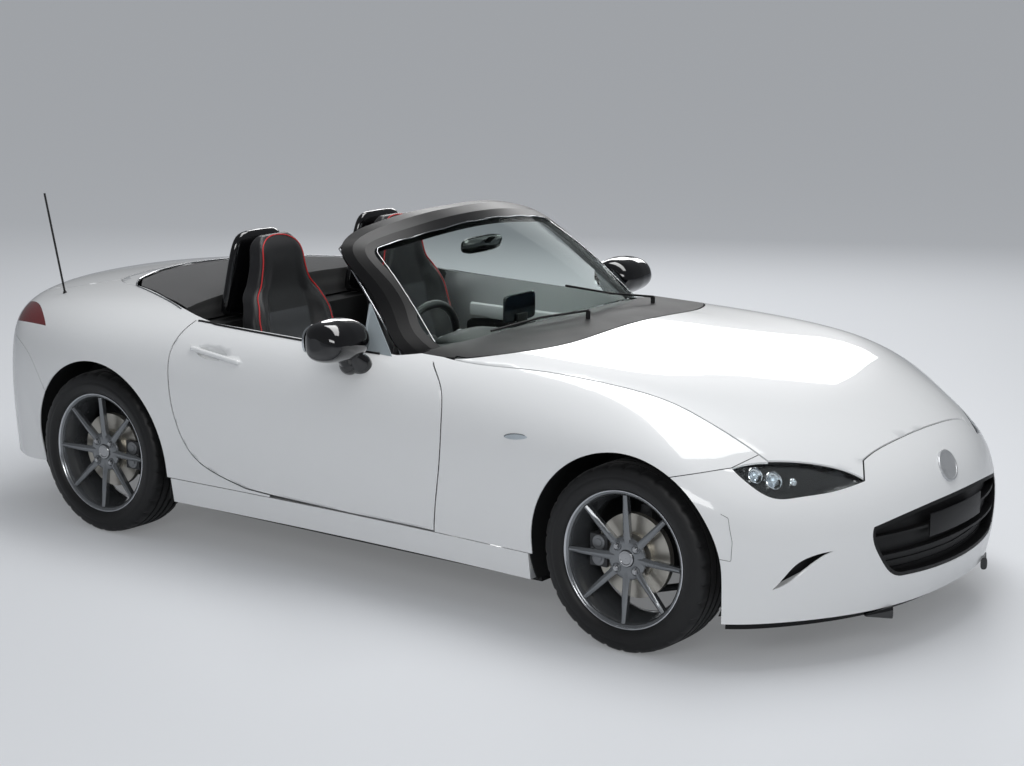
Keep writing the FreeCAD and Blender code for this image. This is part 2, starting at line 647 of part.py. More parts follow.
boot_barrel = Part.makeCylinder(size.hinge_barrel_radius * barrel_share, arm_gauge,
                                neck_points[0] - V(0, arm_gauge * half, 0), V(0, 1, 0))
boot_bore = Part.makeCylinder(size.hinge_pin_radius + size.pin_play, arm_gauge * 3,
                              neck_points[0] - V(0, arm_gauge * 2, 0), V(0, 1, 0))
boot_hinge = boot_barrel.multiFuse(neck_bars).common(skin_solid(size.panel_gauge * half))
boot_hinge = boot_hinge.cut(boot_bore)
boot = boot.multiFuse(both(boot_hinge))
add("hood", hood)
add("cowl_panel", cowl)
add("boot_lid", boot)

def egg(centre, half_x, half_y, half_z):
    """A rounded pod with its own half size along each axis."""
    ball = Part.makeSphere(1)
    matrix = FreeCAD.Matrix()
    matrix.scale(half_x, half_y, half_z)
    matrix.move(centre)
    return ball.transformGeometry(matrix)


# Doors, each as thick as the real one, carried on two hinges at the front post.
door_hinges = []
for hinge_z in (size.hinge_low, size.hinge_high):
    barrel = Part.makeCylinder(size.hinge_barrel_radius, size.hinge_height,
                               V(hinge_x, hinge_y, hinge_z))
    neck = box(hinge_x - gauge, hinge_x + gauge, arm_y, hinge_y, hinge_z,
               hinge_z + size.hinge_height)
    reach = box(hinge_x - size.hinge_lead * 2, hinge_x + gauge, arm_y, arm_y + gauge * 2,
                hinge_z, hinge_z + size.hinge_height)
    bore = Part.makeCylinder(size.hinge_pin_radius + size.pin_play, size.hinge_height * 3,
                             V(hinge_x, hinge_y, hinge_z - size.hinge_height))
    door_hinges.append(barrel.multiFuse([neck, reach]).cut(bore))
cup_shares = (.761, .932, .818)
cup_half_shares = (.030, .024, .032)
grip_shares = [(.800, .935, .824), (.706, .937, .798)]
cup = egg(V(station(cup_shares[0]), beam(cup_shares[1]), level(cup_shares[2])),
          size.wheelbase * cup_half_shares[0], beam(cup_half_shares[1]),
          level(cup_half_shares[2]))
grip_ends = [V(station(s), beam(b), level(h)) for s, b, h in grip_shares]
grip = rod(grip_ends[0], grip_ends[1], size.handle_radius)
grip = grip.multiFuse([Part.makeSphere(size.handle_radius, end) for end in grip_ends])
door = door.cut(cup).multiFuse(door_hinges + [grip])
add("door_left", door)
add("door_right", mirrored(door))

# Windscreen: a curved pane inside a round-cornered frame.
glass_low_shares = [(.400, .765, .872), (.345, .480, .962), (.315, .240, .990)]
glass_high_shares = [(.563, .600, 1.250), (.565, .390, 1.302), (.559, .180, 1.326)]
glass_bulge_share = .016
# Edges of the frame from its foot to the middle of the header: where the glass edge stands in
# plan, and where the outer edge stands.
glass_edge_shares = [(.400, .690), (.446, .658), (.498, .620), (.546, .580), (.541, .505),
                     (.531, .400), (.521, .220), (.517, 0)]
outer_edge_shares = [(.412, .800, .845), (.424, .795, .898), (.479, .752, 1.020),
                     (.534, .706, 1.138), (.588, .655, 1.246), (.598, .560, 1.284),
                     (.594, .430, 1.312), (.584, .240, 1.337), (.580, 0, 1.343)]
crest_shares = (.18, .20, .22, .24, .40, .62, .80, .95, 1.0)
crest_place_shares = (.28, .66)
frame_under_shares = (.55, 1.0, .80)
foot_run_share = .6


def pane_face():
    """The pane's outer face from its lower and upper rows of places."""
    rows = []
    for lift in (0, half, 1):
        row = []
        for low, high in zip(glass_low_shares, glass_high_shares):
            place = [a + (b - a) * lift for a, b in zip(low, high)]
            bulge = glass_bulge_share * lift * (1 - lift) / half / half
            row.append(V(station(place[0]) + level(bulge), beam(place[1]),
                         level(place[2] + bulge)))
        rows.append(row + [V(p.x, -p.y, p.z) for p in reversed(row)])
    surface = Part.BSplineSurface()
    surface.interpolate(rows)
    return surface.toShape()


def on_pane(x, y):
    """The place on the pane's outer face above a plan place."""
    line = Part.LineSegment(V(x, y, 0), V(x, y, top * 2)).toShape()
    return line.distToShape(outer_pane)[1][0][0]


def screen_frame(growth):
    """Pillars and header in one bent section, lofted from foot to foot; growth thickens it."""
    inner_line = [on_pane(station(s), beam(b)) + V(0, 0, size.glass_gauge * half)
                  for s, b in glass_edge_shares]
    inner_line.insert(0, inner_line[0] + (inner_line[0] - inner_line[1]) * foot_run_share)
    outer_line = [V(station(s), beam(b), level(h)) for s, b, h in outer_edge_shares]
    sections = []
    last = len(inner_line) - 1
    for index, crest in enumerate(crest_shares):
        inner, outer = inner_line[index], outer_line[index]
        along = inner_line[min(index + 1, last)] - inner_line[max(index - 1, 0)]
        if index == last:
            along = V(0, -1, 0)
        across = outer - inner
        across.normalize()
        out = along.cross(across)
        out.normalize()
        if out.z < 0:
            out = -out
        inner = inner - across * growth
        outer = outer + across * growth
        width = outer - inner
        rise = size.frame_gauge * crest * half + growth
        drop = size.frame_gauge + growth
        points = [inner + out * growth]
        points += [inner + width * place + out * rise for place in crest_place_shares]
        points += [outer + out * growth, outer - out * drop * frame_under_shares[0],
                   inner + width * half - out * drop * frame_under_shares[1],
                   inner - out * drop * frame_under_shares[2]]
        sections.append(points)
    sections += [[V(p.x, -p.y, p.z) for p in points] for points in reversed(sections[:-1])]
    return Part.makeLoft([Part.makePolygon(points + [points[0]]) for points in sections],
                         True, False)


outer_pane = pane_face()
pane = outer_pane.makeOffsetShape(-size.glass_gauge, 0.01, fill=True)
frame = screen_frame(0).cut(box(-far, far, -far, far, 0, size.firewall_top + size.seat_gap))
add("windscreen_frame", frame)
add("windscreen_glass", biggest(pane.cut(screen_frame(size.seat_gap))))

# Wheels: rim, hub and spokes turned and patterned about their own axle, left side outward +Y.
aliases = {alias for alias, value in SIZES}


def bound(text):
    """An expression in which each size name points at its cell."""
    return re.sub(r"[a-z_]+", lambda m: "Sizes." + m.group() if m.group() in aliases
                  else m.group(), text)


def block(name, extents, corner):
    """A plain block whose three sides and near corner are tied to the sheet."""
    item = doc.addObject("Part::Box", name)
    item.Label = name
    for side_name, text in zip(("Length", "Width", "Height"), extents):
        item.setExpression(side_name, bound(text))
    for axis, text in zip("xyz", corner):
        item.setExpression("Placement.Base." + axis, bound(text))
    parts[name] = item


def origin_plane(body, role):
    return next(item for item in body.Origin.OriginFeatures if item.Role == role)


def bound_sketch(body, name, role, corners):
    """A closed outline whose corners are tied to the sheet, two expressions each."""
    sketch = body.newObject("Sketcher::SketchObject", name)
    sketch.AttachmentSupport = [(origin_plane(body, role), "")]
    sketch.MapMode = "FlatFace"
    spots = [V(sheet.evalExpression(x), sheet.evalExpression(y), 0) for x, y in corners]
    count = len(spots)
    for index in range(count):
        sketch.addGeometry(Part.LineSegment(spots[index], spots[(index + 1) % count]), False)
    for index in range(count):
        sketch.addConstraint(Sketcher.Constraint("Coincident", index, 2, (index + 1) % count, 1))
    for index, (x, y) in enumerate(corners):
        for kind, text, value in (("DistanceX", x, spots[index].x), ("DistanceY", y, spots[index].y)):
            if text == "0":
                axis = -2 if kind == "DistanceX" else -1
                sketch.addConstraint(Sketcher.Constraint("PointOnObject", index, 1, axis))
            else:
                number = sketch.addConstraint(Sketcher.Constraint(kind, -1, 1, index, 1, value))
                sketch.setExpression("Constraints[%d]" % number, bound(text))
    return sketch


def turned(body, name, corners):
    """A ring turned about the body's Y axis from an outline of radius and depth."""
    sketch = bound_sketch(body, name + "_outline", "XY_Plane", corners)
    turn = body.newObject("PartDesign::Revolution", name)
    turn.Profile = sketch
    turn.ReferenceAxis = (sketch, ["V_Axis"])
    turn.Angle = 360
    return turn


def new_body(name, x, y, z, right):
    """A body placed at its axle, turned round on the right side."""
    body = doc.addObject("PartDesign::Body", name)
    body.Label = name
    turn = FreeCAD.Rotation(V(0, 0, 1), 180 if right else 0)
    body.Placement = FreeCAD.Placement(V(x, y, z), turn)
    parts[name] = body
    return body


rim_corners = [
    ("rim_flange_radius", "rim_width/2 + rim_gauge"), ("rim_flange_radius", "rim_width/2"),
    ("wheel_radius - tyre_wall", "rim_width/2 - rim_gauge"),
    ("wheel_radius - tyre_wall - rim_gauge", "0"),
    ("wheel_radius - tyre_wall", "rim_gauge - rim_width/2"),
    ("rim_flange_radius", "-rim_width/2"), ("rim_flange_radius", "-rim_width/2 - rim_gauge"),
    ("wheel_radius - tyre_wall - rim_gauge", "-rim_width/2"),
    ("wheel_radius - tyre_wall - rim_gauge*2.5", "0"),
    ("wheel_radius - tyre_wall - rim_gauge", "rim_width/2"),
]
hub_corners = [
    ("cap_radius", "wheel_offset - rim_gauge*2"), ("hub_radius*2.3", "wheel_offset - rim_gauge*2"),
    ("hub_radius*2.3", "wheel_offset + spoke_depth/2"), ("cap_radius", "wheel_offset + spoke_depth"),
]
spoke_corners = [
    ("hub_radius*2", "wheel_offset - rim_gauge"),
    ("wheel_radius - tyre_wall - rim_gauge/2", "rim_width/2 - rim_gauge*2"),
    ("wheel_radius - tyre_wall - rim_gauge/2", "rim_width/2"),
    ("hub_radius*2", "wheel_offset + spoke_depth/2"),
]
cap_corners = [
    ("0", "wheel_offset - rim_gauge"), ("cap_radius + rim_gauge/7", "wheel_offset - rim_gauge"),
    ("cap_radius + rim_gauge/7", "wheel_offset + spoke_depth/2"),
    ("0", "wheel_offset + spoke_depth*2/3"),
]
tyre_corners = [
    ("wheel_radius - tyre_wall + seat_gap", "rim_width/2 - rim_gauge - seat_gap"),
    ("rim_flange_radius", "rim_width/2 - seat_gap*2"),
    ("rim_flange_radius + rim_gauge", "tyre_width*0.46"),
    ("wheel_radius - tyre_wall*0.5", "tyre_width/2"), ("wheel_radius - tyre_wall*0.2", "tyre_width*0.48"),
    ("wheel_radius - tyre_wall*0.05", "tyre_width*0.43"), ("wheel_radius", "tyre_width*0.34"),
    ("wheel_radius", "-tyre_width*0.34"), ("wheel_radius - tyre_wall*0.05", "-tyre_width*0.43"),
    ("wheel_radius - tyre_wall*0.2", "-tyre_width*0.48"), ("wheel_radius - tyre_wall*0.5", "-tyre_width/2"),
    ("rim_flange_radius + rim_gauge", "-tyre_width*0.46"), ("rim_flange_radius", "seat_gap*2 - rim_width/2"),
    ("wheel_radius - tyre_wall + seat_gap", "seat_gap + rim_gauge - rim_width/2"),
]
disc_corners = [
    ("hub_radius + pin_play", "wheel_offset - rim_gauge*2 - seat_gap"),
    ("disc_hat_radius", "wheel_offset - rim_gauge*2 - seat_gap"),
    ("disc_hat_radius", "wheel_offset - rim_gauge*4"), ("disc_radius", "wheel_offset - rim_gauge*4"),
    ("disc_radius", "wheel_offset - rim_gauge*4 - disc_gauge"),
    ("hub_radius + pin_play", "wheel_offset - rim_gauge*4 - disc_gauge"),
]


def wheel_set(suffix, x, y, right):
    """One wheel, its tyre and its brake disc."""
    rim = new_body("wheel_" + suffix, x, y, size.wheel_radius, right)
    turned(rim, "rim_" + suffix, rim_corners)
    turned(rim, "hub_" + suffix, hub_corners)
    turned(rim, "cap_" + suffix, cap_corners)
    sketch = bound_sketch(rim, "spoke_outline_" + suffix, "XY_Plane", spoke_corners)
    spoke = rim.newObject("PartDesign::Pad", "spoke_" + suffix)
    spoke.Profile = sketch
    spoke.SideType = "Symmetric"
    spoke.setExpression("Length", "Sizes.spoke_width")
    doc.recompute()
    ring = rim.newObject("PartDesign::PolarPattern", "spokes_" + suffix)
    ring.Originals = [spoke]
    ring.Axis = (origin_plane(rim, "Y_Axis"), [""])
    ring.Angle = 360
    ring.setExpression("Occurrences", "Sizes.spoke_count")
    rim.Tip = ring
    tyre = new_body("tyre_" + suffix, x, y, size.wheel_radius, right)
    turned(tyre, "carcass_" + suffix, tyre_corners)
    disc = new_body("brake_disc_" + suffix, x, y, size.wheel_radius, right)
    turned(disc, "disc_" + suffix, disc_corners)


wheel_set("front_left", front_axle, size.track_front * half, False)
wheel_set("front_right", front_axle, -size.track_front * half, True)
wheel_set("rear_left", rear_axle, size.track_rear * half, False)
wheel_set("rear_right", rear_axle, -size.track_rear * half, True)

# Steered uprights with their stub axles and brake calipers, and the fixed rear ones.
brake_gap = size.shut_gap
disc_outer_y = size.wheel_offset - size.rim_gauge * 4
disc_inner_y = disc_outer_y - size.disc_gauge
caliper_gauge = size.disc_gauge * half
upright_half = size.disc_gauge
joint_low_share = .60
joint_high_share = 1.43
joint_low = size.wheel_radius * joint_low_share
joint_high = size.wheel_radius * joint_high_share
caliper_reach_share = 1.14
caliper_root_share = .66
caliper_half_share = .38


def carrier(axle_x, track, back):
    """Upright, stub axle and caliper on the left side; the caliper leans to the given side."""
    plane = track * half
    kingpin = plane - (size.track_front * half - size.kingpin_half_track)
    block = box(axle_x - upright_half, axle_x + upright_half, kingpin - upright_half * half,
                kingpin + upright_half * half, joint_low, joint_high)
    stub_end = plane + size.wheel_offset - size.rim_gauge * 2 - size.seat_gap
    stub = Part.makeCylinder(size.hub_radius, stub_end - kingpin,
                             V(axle_x, kingpin, size.wheel_radius), V(0, 1, 0))
    reach = size.disc_radius * caliper_reach_share
    root = size.disc_radius * caliper_root_share
    tall = size.disc_radius * caliper_half_share
    z_low = size.wheel_radius - tall
    z_high = size.wheel_radius + tall
    inner_y = plane + disc_inner_y - brake_gap - caliper_gauge
    outer_y = plane + disc_outer_y + brake_gap + caliper_gauge
    near, away = sorted((axle_x + back * root, axle_x + back * reach))
    block_out = box(near, away, inner_y, outer_y, z_low, z_high)
    slot = Part.makeCylinder(size.disc_radius + brake_gap,
                             size.disc_gauge + brake_gap * 2,
                             V(axle_x, plane + disc_inner_y - brake_gap, size.wheel_radius),
                             V(0, 1, 0))
    near, away = sorted((axle_x, axle_x + back * reach))
    bracket = box(near, away, kingpin - upright_half * half, inner_y + caliper_gauge * half,
                  size.wheel_radius - upright_half, size.wheel_radius + upright_half)
    return block.multiFuse([stub, block_out.cut(slot), bracket])


knuckle = carrier(front_axle, size.track_front, -1)
add("knuckle_left", knuckle)
add("knuckle_right", mirrored(knuckle))
arm_radius = size.disc_gauge * half * half * 3
joint_gauge = size.disc_gauge


def wishbones(axle_x, kingpin, wall, low_z, high_z):
    """Upper and lower wishbones from the inner wall to the two ends of an upright."""
    arms = []
    spread = size.disc_radius
    for z in (low_z, high_z):
        for step in (-spread, spread):
            arms.append(rod(V(axle_x + step, wall - arm_radius, z), V(axle_x, kingpin, z),
                            joint_gauge * half))
        arms.append(Part.makeCylinder(joint_gauge, joint_gauge,
                                      V(axle_x, kingpin, z - joint_gauge * half)))
    keep = box(axle_x - far, axle_x + far, wall + size.seat_gap, far, bottom, top)
    return arms[0].multiFuse(arms[1:]).common(keep)


lower_joint = joint_low - size.seat_gap - joint_gauge * half
upper_joint = joint_high + size.seat_gap + joint_gauge * half
front_arms = wishbones(front_axle, size.kingpin_half_track, inner_front + size.liner_gauge,
                       lower_joint, upper_joint)
add("front_suspension", Part.makeCompound(both(front_arms)))
rear_pin = size.kingpin_half_track + (size.track_rear - size.track_front) * half
rear_arms = wishbones(rear_axle, rear_pin, inner_rear + size.liner_gauge,
                      joint_low + joint_gauge, joint_high - joint_gauge)
rear_upright = carrier(rear_axle, size.track_rear, 1)
add("rear_suspension", Part.makeCompound(both(rear_arms.fuse(rear_upright))))

# Door mirrors: a rounded pod on a short foot.
mirror_place_shares = (.4935, .985, .955)
mirror_half_shares = (.041, .122, .080)
foot_place_shares = (.4946, .9026, .852)
foot_radius_share = 1.2

pod_rows_shares = [(-1, .35), (-.93, .62), (-.75, .85), (-.40, .97), (0, 1), (.40, .96),
                   (.75, .84), (.93, .60), (1, .30)]
pod_ring_shares = [(1, 0), (.70, .72), (0, 1), (-.62, .80), (-.78, 0), (-.62, -.80), (0, -1),
                   (.70, -.72)]
pod_centre = V(station(mirror_place_shares[0]), beam(mirror_place_shares[1]),
               level(mirror_place_shares[2]))
pod_half = V(size.wheelbase * mirror_half_shares[0], beam(mirror_half_shares[1]),
             level(mirror_half_shares[2]))


def pod_section(place, swell):
    """One upright rounded outline of the mirror pod, flatter towards the glass."""
    curve = Part.BSplineCurve()
    curve.interpolate([pod_centre + V(pod_half.x * a * swell, pod_half.y * place,
                                      pod_half.z * b * swell) for a, b in pod_ring_shares], True)
    return Part.Wire(curve.toShape())


pod = Part.makeLoft([pod_section(*row) for row in pod_rows_shares], True, False)
foot_place = V(station(foot_place_shares[0]), beam(foot_place_shares[1]),
               level(foot_place_shares[2]))
outer_clear = skin_solid(-size.seat_gap)
foot_radius = size.frame_gauge * foot_radius_share
foot = rod(pod_centre, foot_place, size.frame_gauge).fuse(
    Part.makeSphere(foot_radius, foot_place))
mirror = biggest(foot.cut(outer_clear)).fuse(pod)
add("mirror_left", mirror)
add("mirror_right", mirrored(mirror))

# Front quarter light of each door: a small leaning triangle of glass with its post behind.
vent_shares = [(.490, .835, .890), (.436, .835, .890), (.500, .757, 1.060)]
vent_corners = [V(station(s), beam(b), level(h)) for s, b, h in vent_shares]
vent_face = Part.Face(Part.makePolygon(vent_corners + vent_corners[:1]))
vent_out = (vent_corners[1] - vent_corners[0]).cross(vent_corners[2] - vent_corners[0])
vent_out.normalize()
vent = vent_face.extrude(vent_out * size.glass_gauge)
vent = vent.fuse(rod(vent_corners[0], vent_corners[2], size.glass_gauge))
vent = biggest(vent.cut(outer_clear))
add("vent_light_left", vent)
add("vent_light_right", mirrored(vent))

# Seats: cushion, backrest and headrest in one plain soft form each.
head_inset_share = .22
shoulder_share = 1.0
head_room_shares = (.85, .75)
seat_room_shares = (.9, .5)
cushion_shares = [(.575, .330), (.580, .450), (.640, .480), (.735, .430), (.748, .470),
                  (.800, .950), (.792, 1.120), (.800, 1.200), (.822, 1.215), (.832, 1.120),
                  (.822, .900), (.790, .420), (.770, .1740), (.600, .1740)]
seat_runs = [[a, b] for a, b in zip(cushion_shares, cushion_shares[1:] + cushion_shares[:1])]


def seat_shape(centre_y):
    width = size.seat_width
    low = centre_y - width * half
    face = side(seat_runs, low)
    body = face.extrude(V(0, width, 0))
    inset = width * head_inset_share
    head = box(station(head_room_shares[0]), station(head_room_shares[1]), low + inset, low + width - inset, 0, top * 2)
    low_part = box(station(seat_room_shares[0]), station(seat_room_shares[1]), low, low + width, 0, level(shoulder_share))
    return body.common(low_part).fuse(body.common(head))


seat = seat_shape(size.seat_half_track)
add("seat_left", seat)
add("seat_right", mirrored(seat))

# Dashboard under the screen, trimmed clear of the pane, and the console on the tunnel.
dash_shares = [(.322, .700), (.322, .880), (.380, .920), (.430, .900), (.440, .840),
               (.420, .690), (.370, .600), (.330, .630)]
dash_runs = [[a, b] for a, b in zip(dash_shares, dash_shares[1:] + dash_shares[:1])]
dash_half = size.rocker_inner - size.frame_gauge - size.shut_gap
above = pane_face()
above.translate(V(0, 0, -size.frame_gauge - size.shut_gap))
above = above.extrude(V(0, 0, size.belt_height))
dash = side(dash_runs, -dash_half).extrude(V(0, dash_half * 2, 0)).cut(above)
dash = dash.cut(box(-far, far, -far, far, size.firewall_top - gauge - size.seat_gap,
                    size.firewall_top + size.seat_gap).common(
                        box(station(cowl_stay_share) - size.seat_gap, far, -far, far, 0, top)))
hood_y = -size.steering_half_track
column_shares = [(.480, .815), (.420, .790)]
column_start, column_end = [V(station(s), hood_y, level(h)) for s, h in column_shares]
column = rod(column_start, column_end, size.frame_gauge)
dash = dash.fuse(column).cut(screen_frame(size.seat_gap))
add("dashboard", biggest(dash))
console_shares = (.790, .440, .222)
block("centre_console", ("wheelbase*%g" % (console_shares[0] - console_shares[1]),
                         "tunnel_half_width*2 - shut_gap*4",
                         "belt_height*%g" % console_shares[2]),
      ("overall_length/2 - front_overhang - wheelbase*%g" % console_shares[0],
       "shut_gap*2 - tunnel_half_width", "tunnel_height + seat_gap"))

# Steering wheel on its own tilted axis, right-hand drive.
column_axis = column_start - column_end
column_axis.normalize()
wheel_centre = column_start + column_axis * (size.frame_gauge * 2)
grip = Part.makeTorus(size.steering_wheel_radius - size.steering_grip_radius,
                      size.steering_grip_radius, wheel_centre, column_axis)
boss_foot = column_start + column_axis * size.seat_gap
boss = Part.makeCylinder(size.frame_gauge * 1.5, size.frame_gauge * 2, boss_foot, column_axis)
spokes = []
level_axis = V(0, 1, 0)
for turn in (0, 180, 270):
    way = FreeCAD.Rotation(column_axis, turn).multVec(level_axis)
    spokes.append(rod(wheel_centre, wheel_centre + way * (size.steering_wheel_radius
                      - size.steering_grip_radius), size.steering_grip_radius * .8))
add("steering_wheel", grip.multiFuse([boss] + spokes))

# Engine as one plain block behind the front axle line, and the exhaust run below the floor.
block("engine_block", ("engine_length", "engine_width", "engine_height"),
      ("overall_length/2 - front_overhang - engine_length*%g" % (1 - engine_ahead_share),
       "-engine_width/2", "rail_top - engine_height*%g" % engine_low_share))
pipe_z = size.floor_height - size.exhaust_pipe_radius - size.seat_gap
pipe_offset_share = 1.5
pipe_y = -size.tunnel_half_width * pipe_offset_share
muffler_radius = size.exhaust_pipe_radius * 4
muffler_z = size.rail_bottom - muffler_radius - size.seat_gap
muffler_share = 1.55
tail_end_share = 1.90
tail_pipe_shares = (.40, .50)
muffler = Part.makeCylinder(muffler_radius, size.rail_outer,
                            V(station(muffler_share), -size.rail_outer - size.cut_margin, muffler_z),
                            V(0, 1, 0))
front_pipe = rod(V(firewall_x - size.cut_margin, pipe_y, pipe_z),
                 V(bulkhead_x, pipe_y, pipe_z), size.exhaust_pipe_radius)
link_pipe = rod(V(bulkhead_x, pipe_y, pipe_z), V(station(muffler_share), pipe_y, muffler_z),
                size.exhaust_pipe_radius)
tails = []
for offset_share in tail_pipe_shares:
    tails.append(Part.makeCylinder(size.tail_pipe_radius, station(muffler_share) - station(tail_end_share),
                                   V(station(muffler_share), -beam(offset_share), muffler_z),
                                   V(-1, 0, 0)))
exhaust = front_pipe.multiFuse([link_pipe, muffler] + tails)
add("exhaust", exhaust)
pipe_slots = []
for offset_share in tail_pipe_shares:
    pipe_slots.append(Part.makeCylinder(size.tail_pipe_radius + size.shut_gap, rear_overhang,
                                        V(station(muffler_share), -beam(offset_share), muffler_z),
                                        V(-1, 0, 0)))
add("rear_bumper", biggest(tail.cut(pipe_slots)))

# Folded soft top in its well behind the seats, and the two roll hoops.
stack_low = shelf_top + size.seat_gap
stack_gap = size.shut_gap
stack_room = upright(opening(plan(cockpit_runs, stack_low), stack_gap), top - stack_low)
stack_front = bulkhead_x - size.hoop_depth - size.shut_gap * 2
behind = box(station(beyond_tail_share), stack_front, -far, far, 0, top)
stack = arched.common(stack_room).common(behind)
add("folded_top", biggest(stack))
# Roll hoop covers: rounded level sections from the shelf up to the crown.
hoop_rows_shares = [(0, .50, .405), (.18, .50, .380), (.40, .48, .355), (.62, .46, .330),
                    (.80, .44, .305), (.92, .38, .275), (.975, .29, .230), (1, .14, .160)]
hoop_top_share = 1.228
hoop_lean_share = .035
hoop_corner_share = .72
hoop_foot_x = bulkhead_x - size.hoop_depth * half - size.shut_gap
hoop_reach = level(hoop_top_share) - stack_low


def hoop_section(centre_y, rise, deep, wide):
    """One level rounded outline of a hoop cover."""
    x = hoop_foot_x + level(hoop_lean_share) * rise
    z = stack_low + hoop_reach * rise
    a = size.hoop_depth * deep
    b = size.seat_width * wide
    c = hoop_corner_share
    spots = [(a, 0), (a * c, b * c), (0, b), (-a * c, b * c), (-a, 0), (-a * c, -b * c),
             (0, -b), (a * c, -b * c)]
    curve = Part.BSplineCurve()
    curve.interpolate([V(x + dx, centre_y + dy, z) for dx, dy in spots], True)
    return Part.Wire(curve.toShape())


hoops = []
for centre_y in (size.seat_half_track, -size.seat_half_track):
    hoops.append(Part.makeLoft([hoop_section(centre_y, *row) for row in hoop_rows_shares],
                               True, False))
add("roll_hoops", Part.makeCompound(hoops))

# Raked antenna on the right quarter and two wiper arms at the foot of the screen.
antenna_foot = V(station(1.521), -beam(.655), level(.890))
antenna_way = V(-1, 0, 4)
antenna_way.normalize()
mast = Part.makeCylinder(size.antenna_radius, size.antenna_length + size.cut_margin,
                         antenna_foot - antenna_way * size.cut_margin, antenna_way)
base = Part.makeCone(size.antenna_radius * 4, size.antenna_radius, size.cut_margin * half,
                     antenna_foot - antenna_way * size.antenna_radius * 2, antenna_way)
add("antenna", biggest(mast.fuse(base).cut(outer_clear)))
wiper_shares = [((.300, .440, .984), (.345, -.020)), ((.283, -.100, 1.006), (.345, -.520))]
wiper_lift = size.antenna_radius * 3
wipers = []
for foot_share, tip_share in wiper_shares:
    foot_at = V(station(foot_share[0]), beam(foot_share[1]), level(foot_share[2]))
    way = V(station(tip_share[0]), beam(tip_share[1]), foot_at.z) - foot_at
    joints = [foot_at]
    for run in (half, 1):
        spot = foot_at + way * run
        joints.append(V(spot.x, spot.y, on_pane(spot.x, spot.y).z + wiper_lift))
    pieces = [rod(start, end, size.antenna_radius) for start, end in zip(joints, joints[1:])]
    pieces += [Part.makeSphere(size.antenna_radius, joint) for joint in joints]
    post = rod(foot_at - V(0, 0, size.cut_margin), foot_at, size.antenna_radius * 2)
    wipers.append(biggest(post.multiFuse(pieces).cut(outer_clear)))
add("wipers", Part.makeCompound(wipers))

# Everything is recomputed, looked over and written, one file for each node.
doc.recompute()
for item in doc.Objects:
    if "Invalid" in item.State or "Error" in item.State:
        raise RuntimeError(item.Name + " did not build")
for name, item in parts.items():
    if item.Shape.isNull() or not item.Shape.isValid():
        raise RuntimeError(name + " has no sound shape")
for name, item in parts.items():
    item.Shape.exportStep("parts/" + name + ".step")
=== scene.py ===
import json
import math
import bmesh
import bpy
from mathutils import Matrix, Vector
from mathutils.bvhtree import BVHTree

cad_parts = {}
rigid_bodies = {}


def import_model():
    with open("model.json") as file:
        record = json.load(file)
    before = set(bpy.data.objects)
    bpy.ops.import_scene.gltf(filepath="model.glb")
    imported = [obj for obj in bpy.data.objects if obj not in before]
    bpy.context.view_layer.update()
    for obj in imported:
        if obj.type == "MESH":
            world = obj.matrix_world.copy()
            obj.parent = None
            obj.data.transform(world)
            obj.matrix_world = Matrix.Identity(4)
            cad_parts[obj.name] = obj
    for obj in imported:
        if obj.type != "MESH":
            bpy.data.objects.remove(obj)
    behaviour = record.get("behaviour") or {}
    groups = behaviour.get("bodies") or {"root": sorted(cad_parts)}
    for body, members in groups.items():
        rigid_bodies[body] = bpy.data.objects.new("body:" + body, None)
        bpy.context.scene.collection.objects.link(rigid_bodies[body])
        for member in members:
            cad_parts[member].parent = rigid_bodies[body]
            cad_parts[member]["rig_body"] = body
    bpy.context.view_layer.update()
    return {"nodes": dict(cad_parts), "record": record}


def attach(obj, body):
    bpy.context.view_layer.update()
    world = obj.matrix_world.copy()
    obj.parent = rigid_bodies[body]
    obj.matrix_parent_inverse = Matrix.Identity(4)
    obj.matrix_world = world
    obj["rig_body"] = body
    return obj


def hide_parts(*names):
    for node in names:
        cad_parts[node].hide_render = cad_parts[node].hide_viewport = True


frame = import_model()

nodes = frame["nodes"]
mm = 0.001


# Floor, studio light and camera.
# A flat pale grey studio floor under an even grey backdrop, so the white car stands clear of
# both. The lamps are soft boxes: a long one overhead, one at each side and one off the nose.

def linear(hex_colour):
    """Linear colour of an sRGB hex value."""
    channels = [int(hex_colour[i:i + 2], 16) / 255 for i in (1, 3, 5)]
    return [c / 12.92 if c <= 0.04045 else ((c + 0.055) / 1.055) ** 2.4 for c in channels] + [1.0]


def add_node(material, kind, links=(), **settings):
    """Adds a shader node with its settings, and links (its input, other node, output)."""
    tree = material.node_tree
    node = tree.nodes.new(kind)
    for name, value in settings.items():
        if name[0].isupper():
            socket = node.inputs[name.replace("_", " ")]
            socket.default_value = value
        else:
            setattr(node, name, value)
    for socket, other, output in links:
        tree.links.new(other.outputs[output], node.inputs[socket])
    return node


def shader_of(material):
    """The material's main shader node."""
    return material.node_tree.nodes["Principled BSDF"]


def new_material(name, colour, roughness, **settings):
    """A material with a Principled shader; more settings are sockets of that shader."""
    material = bpy.data.materials.new(name)
    material.use_nodes = True
    shader = shader_of(material)
    shader.inputs["Base Color"].default_value = linear(colour)
    shader.inputs["Roughness"].default_value = roughness
    for key, value in settings.items():
        shader.inputs[key.replace("_", " ")].default_value = value
    return material


backdrop_grey = linear("#DADCDE")
floor_half = 400
floor_glow_share = 0.22
sky_strength = 0.5
mirrored_sky_loss = -0.34

